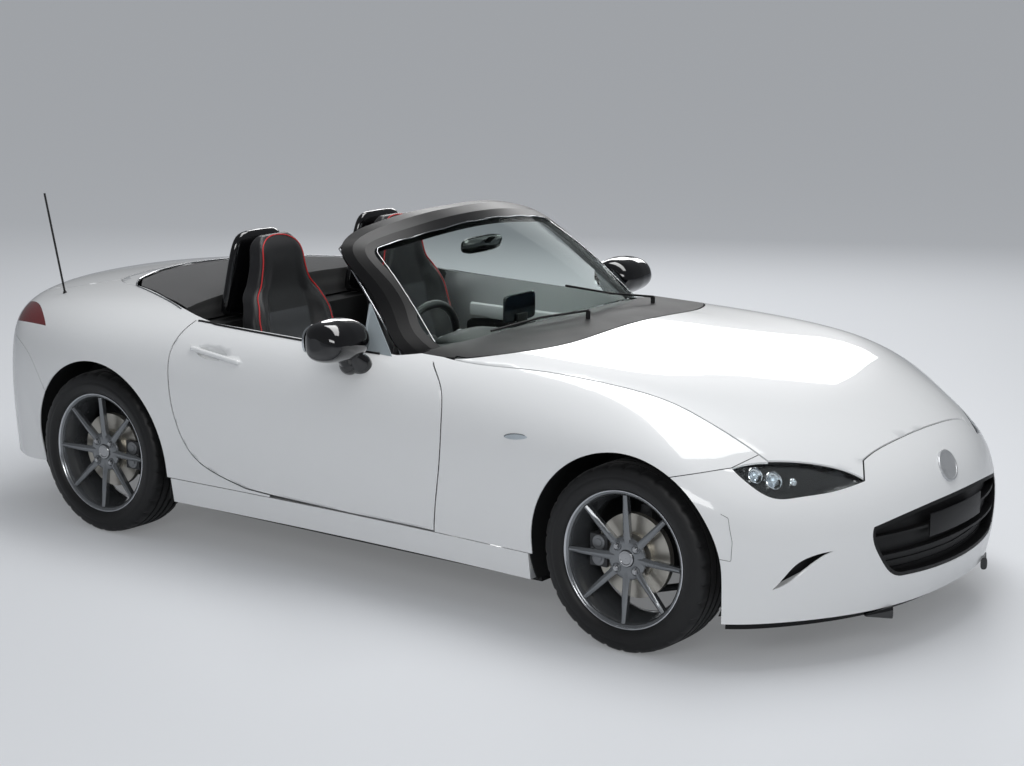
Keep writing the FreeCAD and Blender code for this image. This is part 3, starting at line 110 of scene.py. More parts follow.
floor_material = new_material("studio_paper", "#C6C8CB", 0.55)
floor_mesh = bmesh.new()
bmesh.ops.create_grid(floor_mesh, x_segments=2, y_segments=2, size=floor_half)
floor_data = bpy.data.meshes.new("studio_floor")
floor_mesh.to_mesh(floor_data)
floor_mesh.free()
floor_data.materials.append(floor_material)
floor = bpy.data.objects.new("studio_floor", floor_data)
bpy.context.scene.collection.objects.link(floor)

floor_path = add_node(floor_material, "ShaderNodeLightPath")
floor_glow = add_node(floor_material, "ShaderNodeMath", [(0, floor_path, "Is Camera Ray")],
                      operation="MULTIPLY")
floor_glow.inputs[1].default_value = floor_glow_share
shader_of(floor_material).inputs["Emission Color"].default_value = backdrop_grey
floor_material.node_tree.links.new(floor_glow.outputs[0],
                                   shader_of(floor_material).inputs["Emission Strength"])

world = bpy.data.worlds.new("studio")
bpy.context.scene.world = world
world.use_nodes = True
light_path = add_node(world, "ShaderNodeLightPath")
seen = add_node(world, "ShaderNodeMath", [(0, light_path, "Is Camera Ray"),
                                          (1, light_path, "Is Transmission Ray")],
                operation="MAXIMUM")
backdrop = add_node(world, "ShaderNodeBackground", Color=backdrop_grey, Strength=1.0)
ambient = world.node_tree.nodes["Background"]
ambient.inputs["Color"].default_value = linear("#E4E8EE")
# A mirrored sky is darker than the sky that lights the car, so the paint keeps its shading.
sky = add_node(world, "ShaderNodeMath", [(0, light_path, "Is Glossy Ray")],
               operation="MULTIPLY_ADD")
sky.inputs[1].default_value = mirrored_sky_loss
sky.inputs[2].default_value = sky_strength
world.node_tree.links.new(sky.outputs[0], ambient.inputs["Strength"])
choose = add_node(world, "ShaderNodeMixShader", [(0, seen, 0), (1, ambient, 0), (2, backdrop, 0)])
world.node_tree.links.new(choose.outputs[0],
                          world.node_tree.nodes["World Output"].inputs["Surface"])


def soft_box(name, place, aim, width, height, power):
    """A rectangular soft box at a place, aimed at a point."""
    lamp = bpy.data.lights.new(name, "AREA")
    lamp.shape = "RECTANGLE"
    lamp.size = width
    lamp.size_y = height
    lamp.energy = power
    box = bpy.data.objects.new(name, lamp)
    box.location = place
    box.rotation_euler = (Vector(aim) - Vector(place)).to_track_quat("-Z", "Y").to_euler()
    bpy.context.scene.collection.objects.link(box)


soft_box("overhead_box", (0.2, 0.6, 4.6), (0, 0.2, 0), 5.5, 1.6, 138)
soft_box("near_side_box", (3.6, -6.5, 3.4), (0.4, 0, 0.5), 4.0, 1.4, 102)
soft_box("far_side_box", (-3.0, 5.5, 3.2), (0, 0, 0.5), 5.0, 1.6, 110)
soft_box("nose_box", (7.6, 1.5, 3.6), (1.5, 0, 0.5), 4.0, 2.4, 50)
bpy.data.objects["nose_box"].visible_glossy = False

camera_place = (4.95977, -6.43137, 2.28580)
camera_heading = 36.451
camera_dip = 11.754
camera_roll = 0.192
camera = bpy.data.cameras.new("photo_camera")
camera.lens = 79.63
camera.sensor_width = 36.0
camera.shift_x = -0.0078
camera.shift_y = -0.0090
camera.clip_end = 100
camera_object = bpy.data.objects.new("photo_camera", camera)
camera_object.matrix_world = (Matrix.Translation(camera_place)
                              @ Matrix.Rotation(math.radians(camera_heading), 4, "Z")
                              @ Matrix.Rotation(math.radians(90 - camera_dip), 4, "X")
                              @ Matrix.Rotation(math.radians(camera_roll), 4, "Z"))
bpy.context.scene.collection.objects.link(camera_object)
bpy.context.scene.camera = camera_object
bpy.context.scene.view_settings.view_transform = "Standard"


# Body skin: hood, boot lid, doors, fenders, quarters, bumpers, deck and sills.
# Pressed steel, 4 mm thick with its hem, with rolled edges at every shut line, under white
# pearl paint: a milky base coat, fine mica flake and a hard clear coat.

paint = new_material("white_pearl_paint", "#ECEDED", 0.34, Coat_Weight=1.0, Coat_Roughness=0.03,
                     Specular_IOR_Level=0.45)
paint_place = add_node(paint, "ShaderNodeTexCoord")
flake = add_node(paint, "ShaderNodeTexNoise", [("Vector", paint_place, "Object")], Scale=900.0,
                 Detail=1.0)
flake_tone = add_node(paint, "ShaderNodeMapRange", [("Value", flake, "Fac")], To_Min=0.30,
                      To_Max=0.40)
paint.node_tree.links.new(flake_tone.outputs["Result"], shader_of(paint).inputs["Roughness"])


def piece_from(bm, name, material, body="body", replaced=(), angle=35, bevel=0.0,
               levels=0):
    """Turns a bmesh into a finished piece: smooth shaded, with its finish and body."""
    data = bpy.data.meshes.new(name)
    bm.to_mesh(data)
    bm.free()
    for entry in material if isinstance(material, list) else [material]:
        data.materials.append(entry)
    piece = bpy.data.objects.new(name, data)
    bpy.context.scene.collection.objects.link(piece)
    data.shade_smooth()
    if bevel:
        rounding = piece.modifiers.new("edges", "BEVEL")
        rounding.width = bevel
        rounding.segments = 2
        rounding.limit_method = "ANGLE"
        rounding.angle_limit = math.radians(40)
    if levels:
        rounder = piece.modifiers.new("smooth", "SUBSURF")
        rounder.levels = levels
        rounder.render_levels = levels
    if angle:
        data.set_sharp_from_angle(angle=math.radians(angle))
    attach(piece, body)
    if replaced:
        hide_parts(*replaced)
    return piece


def copy_of(node):
    """The node's own solid as a closed bmesh with its doubles merged."""
    bm = bmesh.new()
    bm.from_mesh(nodes[node].data)
    bmesh.ops.remove_doubles(bm, verts=bm.verts, dist=0.02 * mm)
    return bm


shell_nodes = ["hood", "boot_lid", "rear_deck", "fender_left", "fender_right", "quarter_left",
               "quarter_right", "front_bumper", "rear_bumper", "door_left", "door_right",
               "side_sills"]
for node in shell_nodes:
    piece_from(copy_of(node), node + "_skin", paint, nodes[node]["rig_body"],
               [node], angle=30)


# Road wheels: 16 inch, eight thin blades on a four-nut hub.
# Cast aluminium alloy in satin gunmetal, with a bright lip whose lighter metal is a painted
# reflection of the floor, a plain centre cap and zinc-plated nuts in their wells.

def bumped(material, height, output, strength, distance):
    """Adds a bump from a texture node's output; its distance is in metres."""
    bump = add_node(material, "ShaderNodeBump", [("Height", height, output)],
                    Strength=strength, Distance=distance)
    material.node_tree.links.new(bump.outputs["Normal"], shader_of(material).inputs["Normal"])


def grained(material, kind, output, strength, distance, **settings):
    """Adds a bump from a texture in the object's own space; returns its coordinates node."""
    place = add_node(material, "ShaderNodeTexCoord")
    grain = add_node(material, kind, [("Vector", place, "Object")], **settings)
    bumped(material, grain, output, strength, distance)
    return place


def surface(name, colour, roughness, grain, depth, gloss_low, gloss_high, **settings):
    """A material with a fine grain, its size and depth in mm, and a roughness that drifts."""
    material = new_material(name, colour, roughness, **settings)
    place = grained(material, "ShaderNodeTexNoise", "Fac", 0.5, depth * mm,
                    Scale=1 / (grain * mm), Detail=4.0)
    wide = add_node(material, "ShaderNodeTexNoise", [("Vector", place, "Object")], Scale=9.0,
                    Detail=3.0)
    gloss = add_node(material, "ShaderNodeMapRange", [("Value", wide, "Fac")],
                     To_Min=gloss_low, To_Max=gloss_high)
    material.node_tree.links.new(gloss.outputs["Result"],
                                 shader_of(material).inputs["Roughness"])
    return material


def spun(profile, steps):
    """A closed profile of (across, radius) points in mm, spun about the wheel's axle."""
    bm = bmesh.new()
    ring = [bm.verts.new((0, across * mm, radius * mm)) for across, radius in profile]
    for start, end in zip(ring, ring[1:] + ring[:1]):
        bm.edges.new((start, end))
    bmesh.ops.spin(bm, geom=bm.verts[:] + bm.edges[:], axis=(0, 1, 0), cent=(0, 0, 0),
                   angle=math.tau, steps=steps, use_merge=True)
    bmesh.ops.remove_doubles(bm, verts=bm.verts, dist=0.01 * mm)
    bmesh.ops.recalc_face_normals(bm, faces=bm.faces)
    return bm


def joined(target, part):
    """Adds a bmesh to another one and frees it."""
    data = bpy.data.meshes.new("part")
    part.to_mesh(data)
    part.free()
    target.from_mesh(data)
    bpy.data.meshes.remove(data)


def lofted(loops):
    """A closed bmesh through loops of points in metres, each loop with as many points."""
    bm = bmesh.new()
    previous = None
    for loop in loops:
        ring = [bm.verts.new(point) for point in loop]
        edges = [bm.edges.new(pair) for pair in zip(ring, ring[1:] + ring[:1])]
        if previous:
            bmesh.ops.bridge_loops(bm, edges=previous + edges)
        previous = edges
    bmesh.ops.holes_fill(bm, edges=bm.edges[:], sides=0)
    bmesh.ops.recalc_face_normals(bm, faces=bm.faces)
    return bm


def round_bar(radius, low, high, sides, centre=(0, 0)):
    """A closed bar along the axle between two planes, at (x, z) in mm."""
    bm = bmesh.new()
    turn = Matrix.Rotation(math.radians(-90), 4, "X")
    shift = Matrix.Translation((centre[0] * mm, (low + high) / 2 * mm, centre[1] * mm))
    bmesh.ops.create_cone(bm, cap_ends=True, segments=sides, radius1=radius * mm,
                          radius2=radius * mm, depth=(high - low) * mm, matrix=shift @ turn)
    return bm


rim_profile = [(82.4, 220), (84, 217.5), (83.2, 213), (79.5, 208.5), (74, 205.5), (64, 202.5),
               (46, 199), (20, 190), (-18, 187), (-50, 193), (-70, 201), (-79, 210),
               (-82, 216), (-82.4, 220), (-79, 220), (-76, 213), (-67, 206.5), (-48, 199),
               (-18, 193), (18, 196), (44, 204.5), (62, 207), (73, 210), (78, 215), (79.6, 220)]
hub_profile = [(50, 0.5), (50, 66), (54, 70), (60, 69), (64, 62), (64.5, 40), (63, 31),
               (63, 27.5), (60, 27.2), (60, 0.5)]
cap_profile = [(60, 0.4), (60, 26.6), (66.5, 26.6), (68.4, 24.6), (68.6, 20), (67.2, 18.4),
               (67.2, 0.4)]
spoke_stations = [(38, 18, 40, 64), (60, 15, 43, 66.5), (80, 12.4, 47, 70), (110, 11.6, 50, 73.5),
                  (150, 10.4, 53, 77), (185, 9, 55, 80), (206, 8.4, 57, 82.5)]
blade_count = 8
nut_circle = 50
nut_turns = [math.tau * (index + 0.5) / 4 for index in range(4)]


def wheel_parts():
    """Two bmeshes about the axle: the painted casting and the bright parts."""
    casting = spun(rim_profile, 96)
    joined(casting, spun(hub_profile, 48))
    for index in range(blade_count):
        blade = lofted([[(x * mm, y * mm, reach * mm) for x, y in
                         ((-half_wide * 0.8, back), (half_wide * 0.8, back), (half_wide, face - 5),
                          (half_wide * 0.28, face), (-half_wide * 0.28, face),
                          (-half_wide, face - 5))]
                        for reach, half_wide, back, face in spoke_stations])
        turn = Matrix.Rotation(math.tau * index / blade_count, 4, "Y")
        bmesh.ops.transform(blade, matrix=turn, verts=blade.verts)
        joined(casting, blade)
    for turn in nut_turns:
        place = Matrix.Translation((nut_circle * mm * math.sin(turn), 0,
                                    nut_circle * mm * math.cos(turn)))
        well = spun([(58, 12.5), (58, 16.5), (67, 16), (68, 14.5), (67, 12.8)], 24)
        bmesh.ops.transform(well, matrix=place, verts=well.verts)
        joined(casting, well)
    bright = spun(cap_profile, 48)
    for turn in nut_turns:
        centre = (nut_circle * math.sin(turn), nut_circle * math.cos(turn))
        joined(bright, round_bar(10, 60, 71, 6, centre))
        joined(bright, round_bar(7, 71, 74, 16, centre))
    return casting, bright


nut_metal = surface("zinc_plated_steel", "#B9BABC", 0.22, 1.0, 0.01, 0.18, 0.28, Metallic=1.0)
# A lighter, glossier metal than the casting: on the wheel lip it is a painted reflection of the
# floor, on the hoop and pillar beads a painted highlight.
bright_metal_and_painted_highlight = surface("aluminium_and_painted_highlight", "#D3D5D8", 0.16, 0.6, 0.008, 0.12, 0.20, Metallic=1.0)
wheel_paint = surface("gunmetal_lacquer", "#85888B", 0.28, 0.4, 0.01, 0.22, 0.30, Metallic=0.75,
                      Coat_Weight=0.7, Coat_Roughness=0.06)
lip_profile = [(81, 221.4), (86.4, 221.4), (87.4, 219.2), (86.2, 216.4), (82.6, 214.6),
               (81, 216)]
axles = {"front_left": (1219.5, 747.5), "front_right": (1219.5, -747.5),
         "rear_left": (-1090.5, 752.5), "rear_right": (-1090.5, -752.5)}
axle_height = 300


def at_axle(bm, corner):
    """Moves a left-hand wheel part to its corner, mirrored on the right side."""
    x, y = axles[corner]
    if y < 0:
        bmesh.ops.scale(bm, vec=(1, -1, 1), verts=bm.verts)
        bmesh.ops.reverse_faces(bm, faces=bm.faces)
    bmesh.ops.translate(bm, vec=(x * mm, y * mm, axle_height * mm), verts=bm.verts)
    return bm


for corner in axles:
    casting, bright = wheel_parts()
    body = "roadwheel_" + corner
    piece_from(at_axle(casting, corner), "alloy_wheel_" + corner, wheel_paint,
               body, ["wheel_" + corner], bevel=0.8 * mm)
    piece_from(at_axle(bright, corner), "cap_and_nuts_" + corner, nut_metal,
               body, bevel=0.5 * mm)
    # The bright lip ring is the rim's own edge; its lighter metal is a painted reflection of the
    # floor.
    piece_from(at_axle(spun(lip_profile, 128), corner), "wheel_lip_" + corner, bright_metal_and_painted_highlight,
               body, angle=50)


# Tyres: 195/50 R16, black rubber with a rim guard, ribbed side wall and four tread grooves.
# Shoulder blocks are cut apart by cross slots.

tyre_profile = [(78, 206), (79.5, 214), (80.5, 221.6), (86, 224), (91.5, 230), (95.5, 240),
                (97.3, 252), (97, 260), (95.8, 262), (95.8, 266), (94.6, 272), (91.5, 283),
                (87, 291), (80, 295.6), (66, 298.6), (54, 299.2), (53, 292), (46, 292),
                (45, 299.6), (21, 300), (20, 292.5), (11, 292.5), (10, 300)]
tyre_steps = 180
slot_every = 6
slot_depth = 5


def tyre():
    """A closed tyre about the axle, with cross slots in both shoulders."""
    left = tyre_profile
    right = [(-across, radius) for across, radius in reversed(tyre_profile)]
    bm = spun(left + right + [(-76, 207), (0, 208), (76, 207)], tyre_steps)
    for vert in bm.verts:
        across = abs(vert.co.y) / mm
        radius = math.hypot(vert.co.x, vert.co.z) / mm
        turn = math.atan2(vert.co.x, vert.co.z) / math.tau * tyre_steps
        if 60 < across < 92 and radius > 288 and round(turn) % slot_every == 0:
            scale = (radius - slot_depth) / radius
            vert.co.x *= scale
            vert.co.z *= scale
    return bm


tyre_finish = new_material("tyre_rubber_moulded", "#101011", 0.5, Sheen_Weight=0.1)
grained(tyre_finish, "ShaderNodeTexNoise", "Fac", 0.25, 0.0006, Scale=700.0, Detail=3.0)
for corner in axles:
    piece_from(at_axle(tyre(), corner), "tyre_tread_" + corner, tyre_finish,
               "roadwheel_" + corner, ["tyre_" + corner], angle=40)


# Finishes of the pieces that keep their modelled shape: screen frame, dash, lamps, chassis.
# Grained moulded plastic, satin and gloss black, laminated glass, ground iron, sand-cast
# suspension and dull exhaust steel.

black_plastic = surface("grained_black_plastic", "#161617", 0.55, 1.1, 0.12, 0.48, 0.62)
satin_black = surface("satin_black_paint", "#08080A", 0.36, 0.5, 0.01, 0.32, 0.40,
                      Specular_IOR_Level=0.28)
gloss_black = surface("gloss_black_plastic", "#08080A", 0.08, 0.6, 0.006, 0.06, 0.11,
                      Coat_Weight=1.0)
lamp_black = surface("lamp_housing_black", "#050506", 0.16, 0.6, 0.01, 0.08, 0.16, Coat_Weight=0.3)
finishes = {
    "pearl_paint": paint, "black_plastic": black_plastic, "frame_black": satin_black,
    "gloss_black": gloss_black, "lamp_lens": lamp_black,
    "clear_glass": surface("windscreen_laminate", "#E6EFEC", 0.0, 6.0, 0.0005, 0.0, 0.012,
                           Transmission_Weight=1.0, IOR=1.02),
    "red_lens": surface("red_acrylic", "#6E070B", 0.08, 2.0, 0.02, 0.06, 0.12, Coat_Weight=1.0),
    "tyre_rubber": surface("tyre_rubber", "#141415", 0.75, 0.8, 0.1, 0.7, 0.8),
    "gunmetal_alloy": surface("gunmetal_alloy", "#5A5D61", 0.32, 0.6, 0.02, 0.28, 0.36,
                              Metallic=0.9),
    "disc_iron": surface("ground_iron", "#C9C5BC", 0.35, 0.9, 0.02, 0.28, 0.42, Metallic=0.85),
    "cast_grey": surface("sand_cast_iron", "#4B4C4E", 0.6, 1.6, 0.25, 0.5, 0.7, Metallic=0.5),
    "steel_pipe": surface("exhaust_steel", "#A8A6A2", 0.3, 0.8, 0.02, 0.24, 0.4, Metallic=1.0),
    "underbody_coat": surface("underbody_coat", "#1B1C1D", 0.7, 2.2, 0.35, 0.6, 0.8),
    "black_leather": surface("black_leather", "#151516", 0.45, 0.9, 0.1, 0.38, 0.5),
    "roof_cloth": surface("roof_lining", "#101011", 0.9, 0.7, 0.2, 0.85, 0.95)}
slots = {entry["node"]: entry["material_slot"] for entry in frame["record"]["subparts"]}
for name, node in nodes.items():
    finish = finishes[slots[name]]
    if not node.material_slots:
        node.data.materials.append(finish)
    for place in node.material_slots:
        place.material = finish
side_glass = surface("side_glass", "#C9D2D6", 0.04, 3.0, 0.002, 0.02, 0.06,
                     Transmission_Weight=0.5, IOR=1.3)
for name in ("vent_light_left", "vent_light_right"):
    nodes[name].material_slots[0].material = side_glass


# Bucket seats: one-piece backrest with its head restraint, and a cushion with side bolsters.
# Foam under black leather with sewn seams and red piping; the middle of the cushion and the
# small of the back are perforated grey leather.

seat_leather = new_material("nappa_leather", "#1D1D1F", 0.42, Sheen_Weight=0.08)
insert_leather = new_material("perforated_leather", "#3A3B3E", 0.5, Sheen_Weight=0.08)
piping_cord = surface("red_piping", "#C4262A", 0.4, 0.5, 0.08, 0.36, 0.5)
for hide in (seat_leather, insert_leather):
    grained(hide, "ShaderNodeTexVoronoi", "Distance", 0.30, 0.0008, Scale=260.0)


def table_value(table, share):
    """Smooth value at a share of the way along a table of (share, value) rows."""
    if share <= table[0][0]:
        return table[0][1]
    for (low, a), (high, b) in zip(table, table[1:]):
        if share <= high:
            step = (share - low) / (high - low)
            step = step * step * (3 - 2 * step)
            return a + (b - a) * step
    return table[-1][1]


def sewn(distance, depth=5.0, width=6.0):
    """Depth in mm of a seam's valley at a distance from it."""
    return depth * math.exp(-(distance / width) ** 2)


back_x = [(0, -548), (0.25, -585), (0.55, -632), (0.75, -652), (0.88, -650), (1, -664)]
back_foot = 395
back_height = 697
back_seams = (0.30, 0.62)
side_seam_share = 0.53
back_width = [(0, 196), (0.15, 208), (0.40, 217), (0.58, 216), (0.68, 190), (0.76, 142),
              (0.84, 122), (0.92, 116), (0.97, 102), (1, 74)]
back_depth = [(0, 62), (0.4, 50), (0.7, 40), (0.85, 40), (0.95, 38), (1, 14)]
back_bolster = [(0, 20), (0.15, 52), (0.45, 60), (0.62, 44), (0.74, 14), (0.85, 5), (1, 0)]


def back_point(across, rise, depth):
    """A point of the backrest, in mm, from three shares: -1 to 1, 0 to 1 and -1 to 1."""
    swell = (abs(across) ** 5 + abs(depth) ** 5) ** 0.2
    reach = max(abs(across), abs(depth), 0.001)
    u = across * reach / max(swell, 0.001)
    w = depth * reach / max(swell, 0.001)
    y = u * table_value(back_width, rise)
    x = table_value(back_x, rise) + w * table_value(back_depth, rise)
    side = max(0.0, (abs(across) - 0.52) / 0.48)
    x += table_value(back_bolster, rise) * math.sin(min(side, 1.0) * math.pi * 0.72)
    z = back_foot + back_height * rise
    if depth > 0:
        valley = sewn((abs(across) - side_seam_share) * 200) if rise < 0.72 else 0
        for seam in back_seams:
            if abs(across) < 0.55:
                valley = max(valley, sewn((rise - seam) * 690, 4))
        x -= valley * depth
    return Vector((x, y, z)) * mm


cushion_height = [(0, 392), (0.12, 418), (0.35, 408), (0.7, 378), (1, 366)]
cushion_bolster = [(0, 6), (0.2, 26), (0.5, 42), (0.85, 46), (1, 40)]
cushion_front = -112
cushion_rear = -555
cushion_width = 216
cushion_base = 300
cushion_seams = (0.42, 0.70)


def cushion_point(across, back, rise):
    """A point of the cushion, in mm, from shares across, from front to back, and up."""
    swell = (abs(across) ** 6 + abs(rise) ** 6) ** (1 / 6)
    reach = max(abs(across), abs(rise), 0.001)
    u = across * reach / max(swell, 0.001)
    y = u * cushion_width
    nose = math.sqrt(max(0.0, 1 - max(0.0, 1 - back / 0.12) ** 2))
    x = cushion_front + (cushion_rear - cushion_front) * back
    upper = table_value(cushion_height, back)
    side = max(0.0, (abs(across) - 0.50) / 0.50)
    upper += table_value(cushion_bolster, back) * math.sin(min(side, 1.0) * math.pi * 0.72)
    if rise > 0:
        valley = sewn((abs(across) - 0.52) * 200)
        if abs(across) < 0.54:
            valley = max(valley, *(sewn((back - seam) * 440, 4) for seam in cushion_seams))
        upper -= valley * rise
    middle = (upper + cushion_base) / 2
    z = middle + rise * (upper - cushion_base) / 2 * (0.55 + 0.45 * nose)
    return Vector((x, y, z)) * mm


def foam_block(place_of, cuts):
    """A closed pad: a divided cube whose points are moved to the pad's own form."""
    bm = bmesh.new()
    bmesh.ops.create_cube(bm, size=2)
    bmesh.ops.subdivide_edges(bm, edges=bm.edges[:], cuts=cuts, use_grid_fill=True)
    for vert in bm.verts:
        u, v, w = vert.co
        vert.co = place_of(u, v, w)
    bmesh.ops.smooth_vert(bm, verts=bm.verts, factor=0.4, use_axis_x=True, use_axis_y=True,
                          use_axis_z=True)
    bmesh.ops.recalc_face_normals(bm, faces=bm.faces)
    return bm


def cord_along(points, radius, name, material, body="body", sides=8):
    """A round cord through points in metres, as a mesh piece."""
    curve = bpy.data.curves.new(name, "CURVE")
    curve.dimensions = "3D"
    curve.bevel_depth = radius
    curve.bevel_resolution = max(1, sides // 4)
    curve.use_fill_caps = True
    spline = curve.splines.new("NURBS")
    spline.points.add(len(points) - 1)
    for point, place in zip(spline.points, points):
        point.co = (*place, 1.0)
    spline.order_u = 3
    spline.use_endpoint_u = True
    spline.resolution_u = 6
    rope = bpy.data.objects.new(name + "_curve", curve)
    data = bpy.data.meshes.new_from_object(rope)
    bpy.data.objects.remove(rope)
    bm = bmesh.new()
    bm.from_mesh(data)
    bpy.data.meshes.remove(data)
    return piece_from(bm, name, material, body, angle=60)


both_sides = (("left", 1), ("right", -1))
seat_track = 345
for side_name, side in both_sides:
    shift = Matrix.Translation((0, seat_track * side * mm, 0))
    back = foam_block(lambda u, v, w: back_point(u, (v + 1) / 2, w), 35)
    for face in back.faces:
        centre = face.calc_center_median()
        rise = (centre.z / mm - back_foot) / back_height
        inset = abs(centre.y / mm) < 0.50 * table_value(back_width, rise)
        if inset and 0.0 < rise < 0.62 and face.normal.x > 0.3:
            face.material_index = 1
    bmesh.ops.transform(back, matrix=shift, verts=back.verts)
    piece = piece_from(back, "backrest_" + side_name, [seat_leather, insert_leather],
                       "body", ["seat_" + side_name], angle=0, levels=1)
    hide_tree = BVHTree.FromPolygons([vert.co for vert in piece.data.vertices],
                                     [face.vertices for face in piece.data.polygons])
    pad = foam_block(lambda u, v, w: cushion_point(u, (1 - v) / 2, w), 29)
    for face in pad.faces:
        centre = face.calc_center_median()
        if abs(centre.y / mm) < 0.50 * cushion_width and face.normal.z > 0.6 \
                and centre.x / mm < cushion_front - 60:
            face.material_index = 1
    bmesh.ops.transform(pad, matrix=shift, verts=pad.verts)
    piece = piece_from(pad, "cushion_" + side_name, [seat_leather, insert_leather],
                       angle=0, levels=1)
    pipe = [back_point(u, v, 0.72) for u, v in
            [(-0.93, r / 20) for r in range(1, 20)] + [(-0.7, 0.985), (0, 0.998), (0.7, 0.985)]
            + [(0.93, r / 20) for r in range(19, 0, -1)]]
    on_hide = [hide_tree.find_nearest(shift @ place) for place in pipe]
    pipe = [hit + normal * 1.4 * mm for hit, normal, _, _ in on_hide]
    cord_along(pipe, 2.6 * mm, "back_piping_" + side_name, piping_cord)


# Roll hoops: a steel hoop behind each seat, hidden in a black moulded cover.
# Gloss black plastic, narrower towards its crown, with a bright metal bead along its edge that is
# a painted highlight.

def ring_at(centre, along, up, power=2.4, count=32):
    """A rounded outline about a centre in mm, from its two half-axis vectors."""
    centre, along, up = Vector(centre), Vector(along), Vector(up)
    loop = []
    for index in range(count):
        turn = math.tau * index / count
        c, s = math.cos(turn), math.sin(turn)
        loop.append((centre + along * math.copysign(abs(c) ** (2 / power), c)
                     + up * math.copysign(abs(s) ** (2 / power), s)) * mm)
    return loop


hoop_foot_x, hoop_lean = -771.5, 31.5
hoop_foot_z, hoop_height = 782.3, 322.9
hoop_deep, hoop_wide = 66, 440
hoop_rows = [(0, .50, .405), (.18, .50, .380), (.40, .48, .355), (.62, .46, .330),
             (.80, .44, .305), (.92, .38, .275), (.975, .29, .230), (1, .14, .160)]
# Points of the bright bead along the cover's edge, which paints its highlight.
painted_highlight_rows = [(.06, .50, .395, 1), (.40, .48, .355, 1), (.80, .44, .305, 1), (.955, .33, .25, 1)]
painted_highlight_rows = ([(*row[:3], -1) for row in painted_highlight_rows] + [(.992, .18, .10, 0)] + painted_highlight_rows[::-1])
for side_name, side in both_sides:
    loops = [ring_at((hoop_foot_x + hoop_lean * rise, seat_track * side,
                      hoop_foot_z + hoop_height * rise), (hoop_deep * deep, 0, 0),
                     (0, hoop_wide * wide, 0), 2.6, 28) for rise, deep, wide in hoop_rows]
    piece_from(lofted(loops), "hoop_cover_" + side_name, gloss_black, "body",
               ["roll_hoops"] if side > 0 else (), angle=50, levels=1)
    # The bright metal cord along the cover's edge is a painted highlight.
    edge = [(hoop_foot_x + hoop_lean * rise - 60 * deep, seat_track * side + 300 * wide * lean,
             hoop_foot_z + hoop_height * rise) for rise, deep, wide, lean in painted_highlight_rows]
    cord_along([Vector(place) * mm for place in edge], 3.0 * mm, "hoop_painted_highlight_" + side_name,
               bright_metal_and_painted_highlight)


# Folded soft top: black canvas stretched over the stack behind the seats.
# One cloth from the well's front edge to its tail, with three soft folds across it.

top_material = new_material("woven_canvas", "#121213", 0.9, Sheen_Weight=0.25)
top_place = add_node(top_material, "ShaderNodeTexCoord")
warp, weft = [add_node(top_material, "ShaderNodeTexWave", [("Vector", top_place, "Object")],
                       bands_direction=way, Scale=140.0) for way in ("X", "Y")]
weave = add_node(top_material, "ShaderNodeMath", [(0, warp, "Fac"), (1, weft, "Fac")],
                 operation="MAXIMUM")
bumped(top_material, weave, 0, 0.5, 0.0008)
trees = {}


def landed(names, start, way, lift=0.0):
    """Where a line from a place in mm meets some solids, lifted off them, and the normal.
    A line that passes beside them is tried again a little to each side."""
    best = None
    for attempt in range(24):
        shift = (attempt + 1) // 2 * (1 if attempt % 2 else -1)
        place = Vector(start) + Vector((shift, math.copysign(3, start[1]) * shift, 0))
        for name in names:
            if name not in trees:
                solid = copy_of(name)
                trees[name] = BVHTree.FromBMesh(solid)
                solid.free()
            hit, normal, _, reach = trees[name].ray_cast(place * mm, Vector(way))
            if hit and (not best or reach < best[2]):
                best = (hit + normal * lift * mm, normal, reach)
        if best:
            return best[0], best[1]
    raise ValueError("no surface of %s on the line from %s" % (names, start))


down, backward = (0, 0, -1), (-1, 0, 0)
above, ahead, aside = 3000, 2300, 1300
well_edge = [(-812, 648), (-900, 612), (-996, 570), (-1110, 516), (-1240, 458), (-1300, 396),
             (-1342, 345), (-1385, 240), (-1410, 180), (-1430, 60)]
sheet_columns = 24
fold_depth, fold_pitch, cloth_sink, cloth_gauge = 2.5, 190, 3.5, 2.5
cloth_top = bmesh.new()
sheet_rows = []
for x, half_width in well_edge:
    line = []
    for column in range(sheet_columns + 1):
        across = column / sheet_columns * 2 - 1
        spot = landed(["folded_top"], (x, across * half_width, above), down)[0]
        fold = fold_depth * math.sin((x - well_edge[0][0]) / fold_pitch * math.pi) ** 2
        fold += 0.8 * math.cos(across * 7)
        line.append(cloth_top.verts.new(spot + Vector((0, 0, fold - cloth_sink)) * mm))
    sheet_rows.append(line)
front_line = [cloth_top.verts.new(Vector((-808.0 * mm, vert.co.y, 0.79)))
              for vert in sheet_rows[0]]
sheet_rows.insert(0, front_line)
for one, two in zip(sheet_rows, sheet_rows[1:]):
    for column in range(sheet_columns):
        cloth_top.faces.new((one[column], one[column + 1], two[column + 1], two[column]))
cloth_area = sum(face.calc_area() for face in cloth_top.faces)
bmesh.ops.recalc_face_normals(cloth_top, faces=cloth_top.faces)
bmesh.ops.solidify(cloth_top, geom=cloth_top.faces[:], thickness=cloth_gauge * mm)
bmesh.ops.recalc_face_normals(cloth_top, faces=cloth_top.faces)
cover = piece_from(cloth_top, "folded_top_cloth", top_material, "body",
                   ["folded_top"], angle=60)


# Bright beads and rubber seals: round the screen glass, down the pillars, round the cockpit.
# Polished aluminium over black rubber, laid on the panel below; down the pillars the bright cord
# is a painted highlight on a rubber strip.

seal_rubber = surface("seal_rubber", "#101011", 0.6, 0.9, 0.05, 0.5, 0.65)


def spread(line, steps):
    """Points of an open run of points, with more set between each pair."""
    points = []
    for one, two in zip(line, line[1:]):
        points += [tuple(a + (b - a) * step / steps for a, b in zip(one, two))
                   for step in range(steps)]
    return points + [line[-1]]


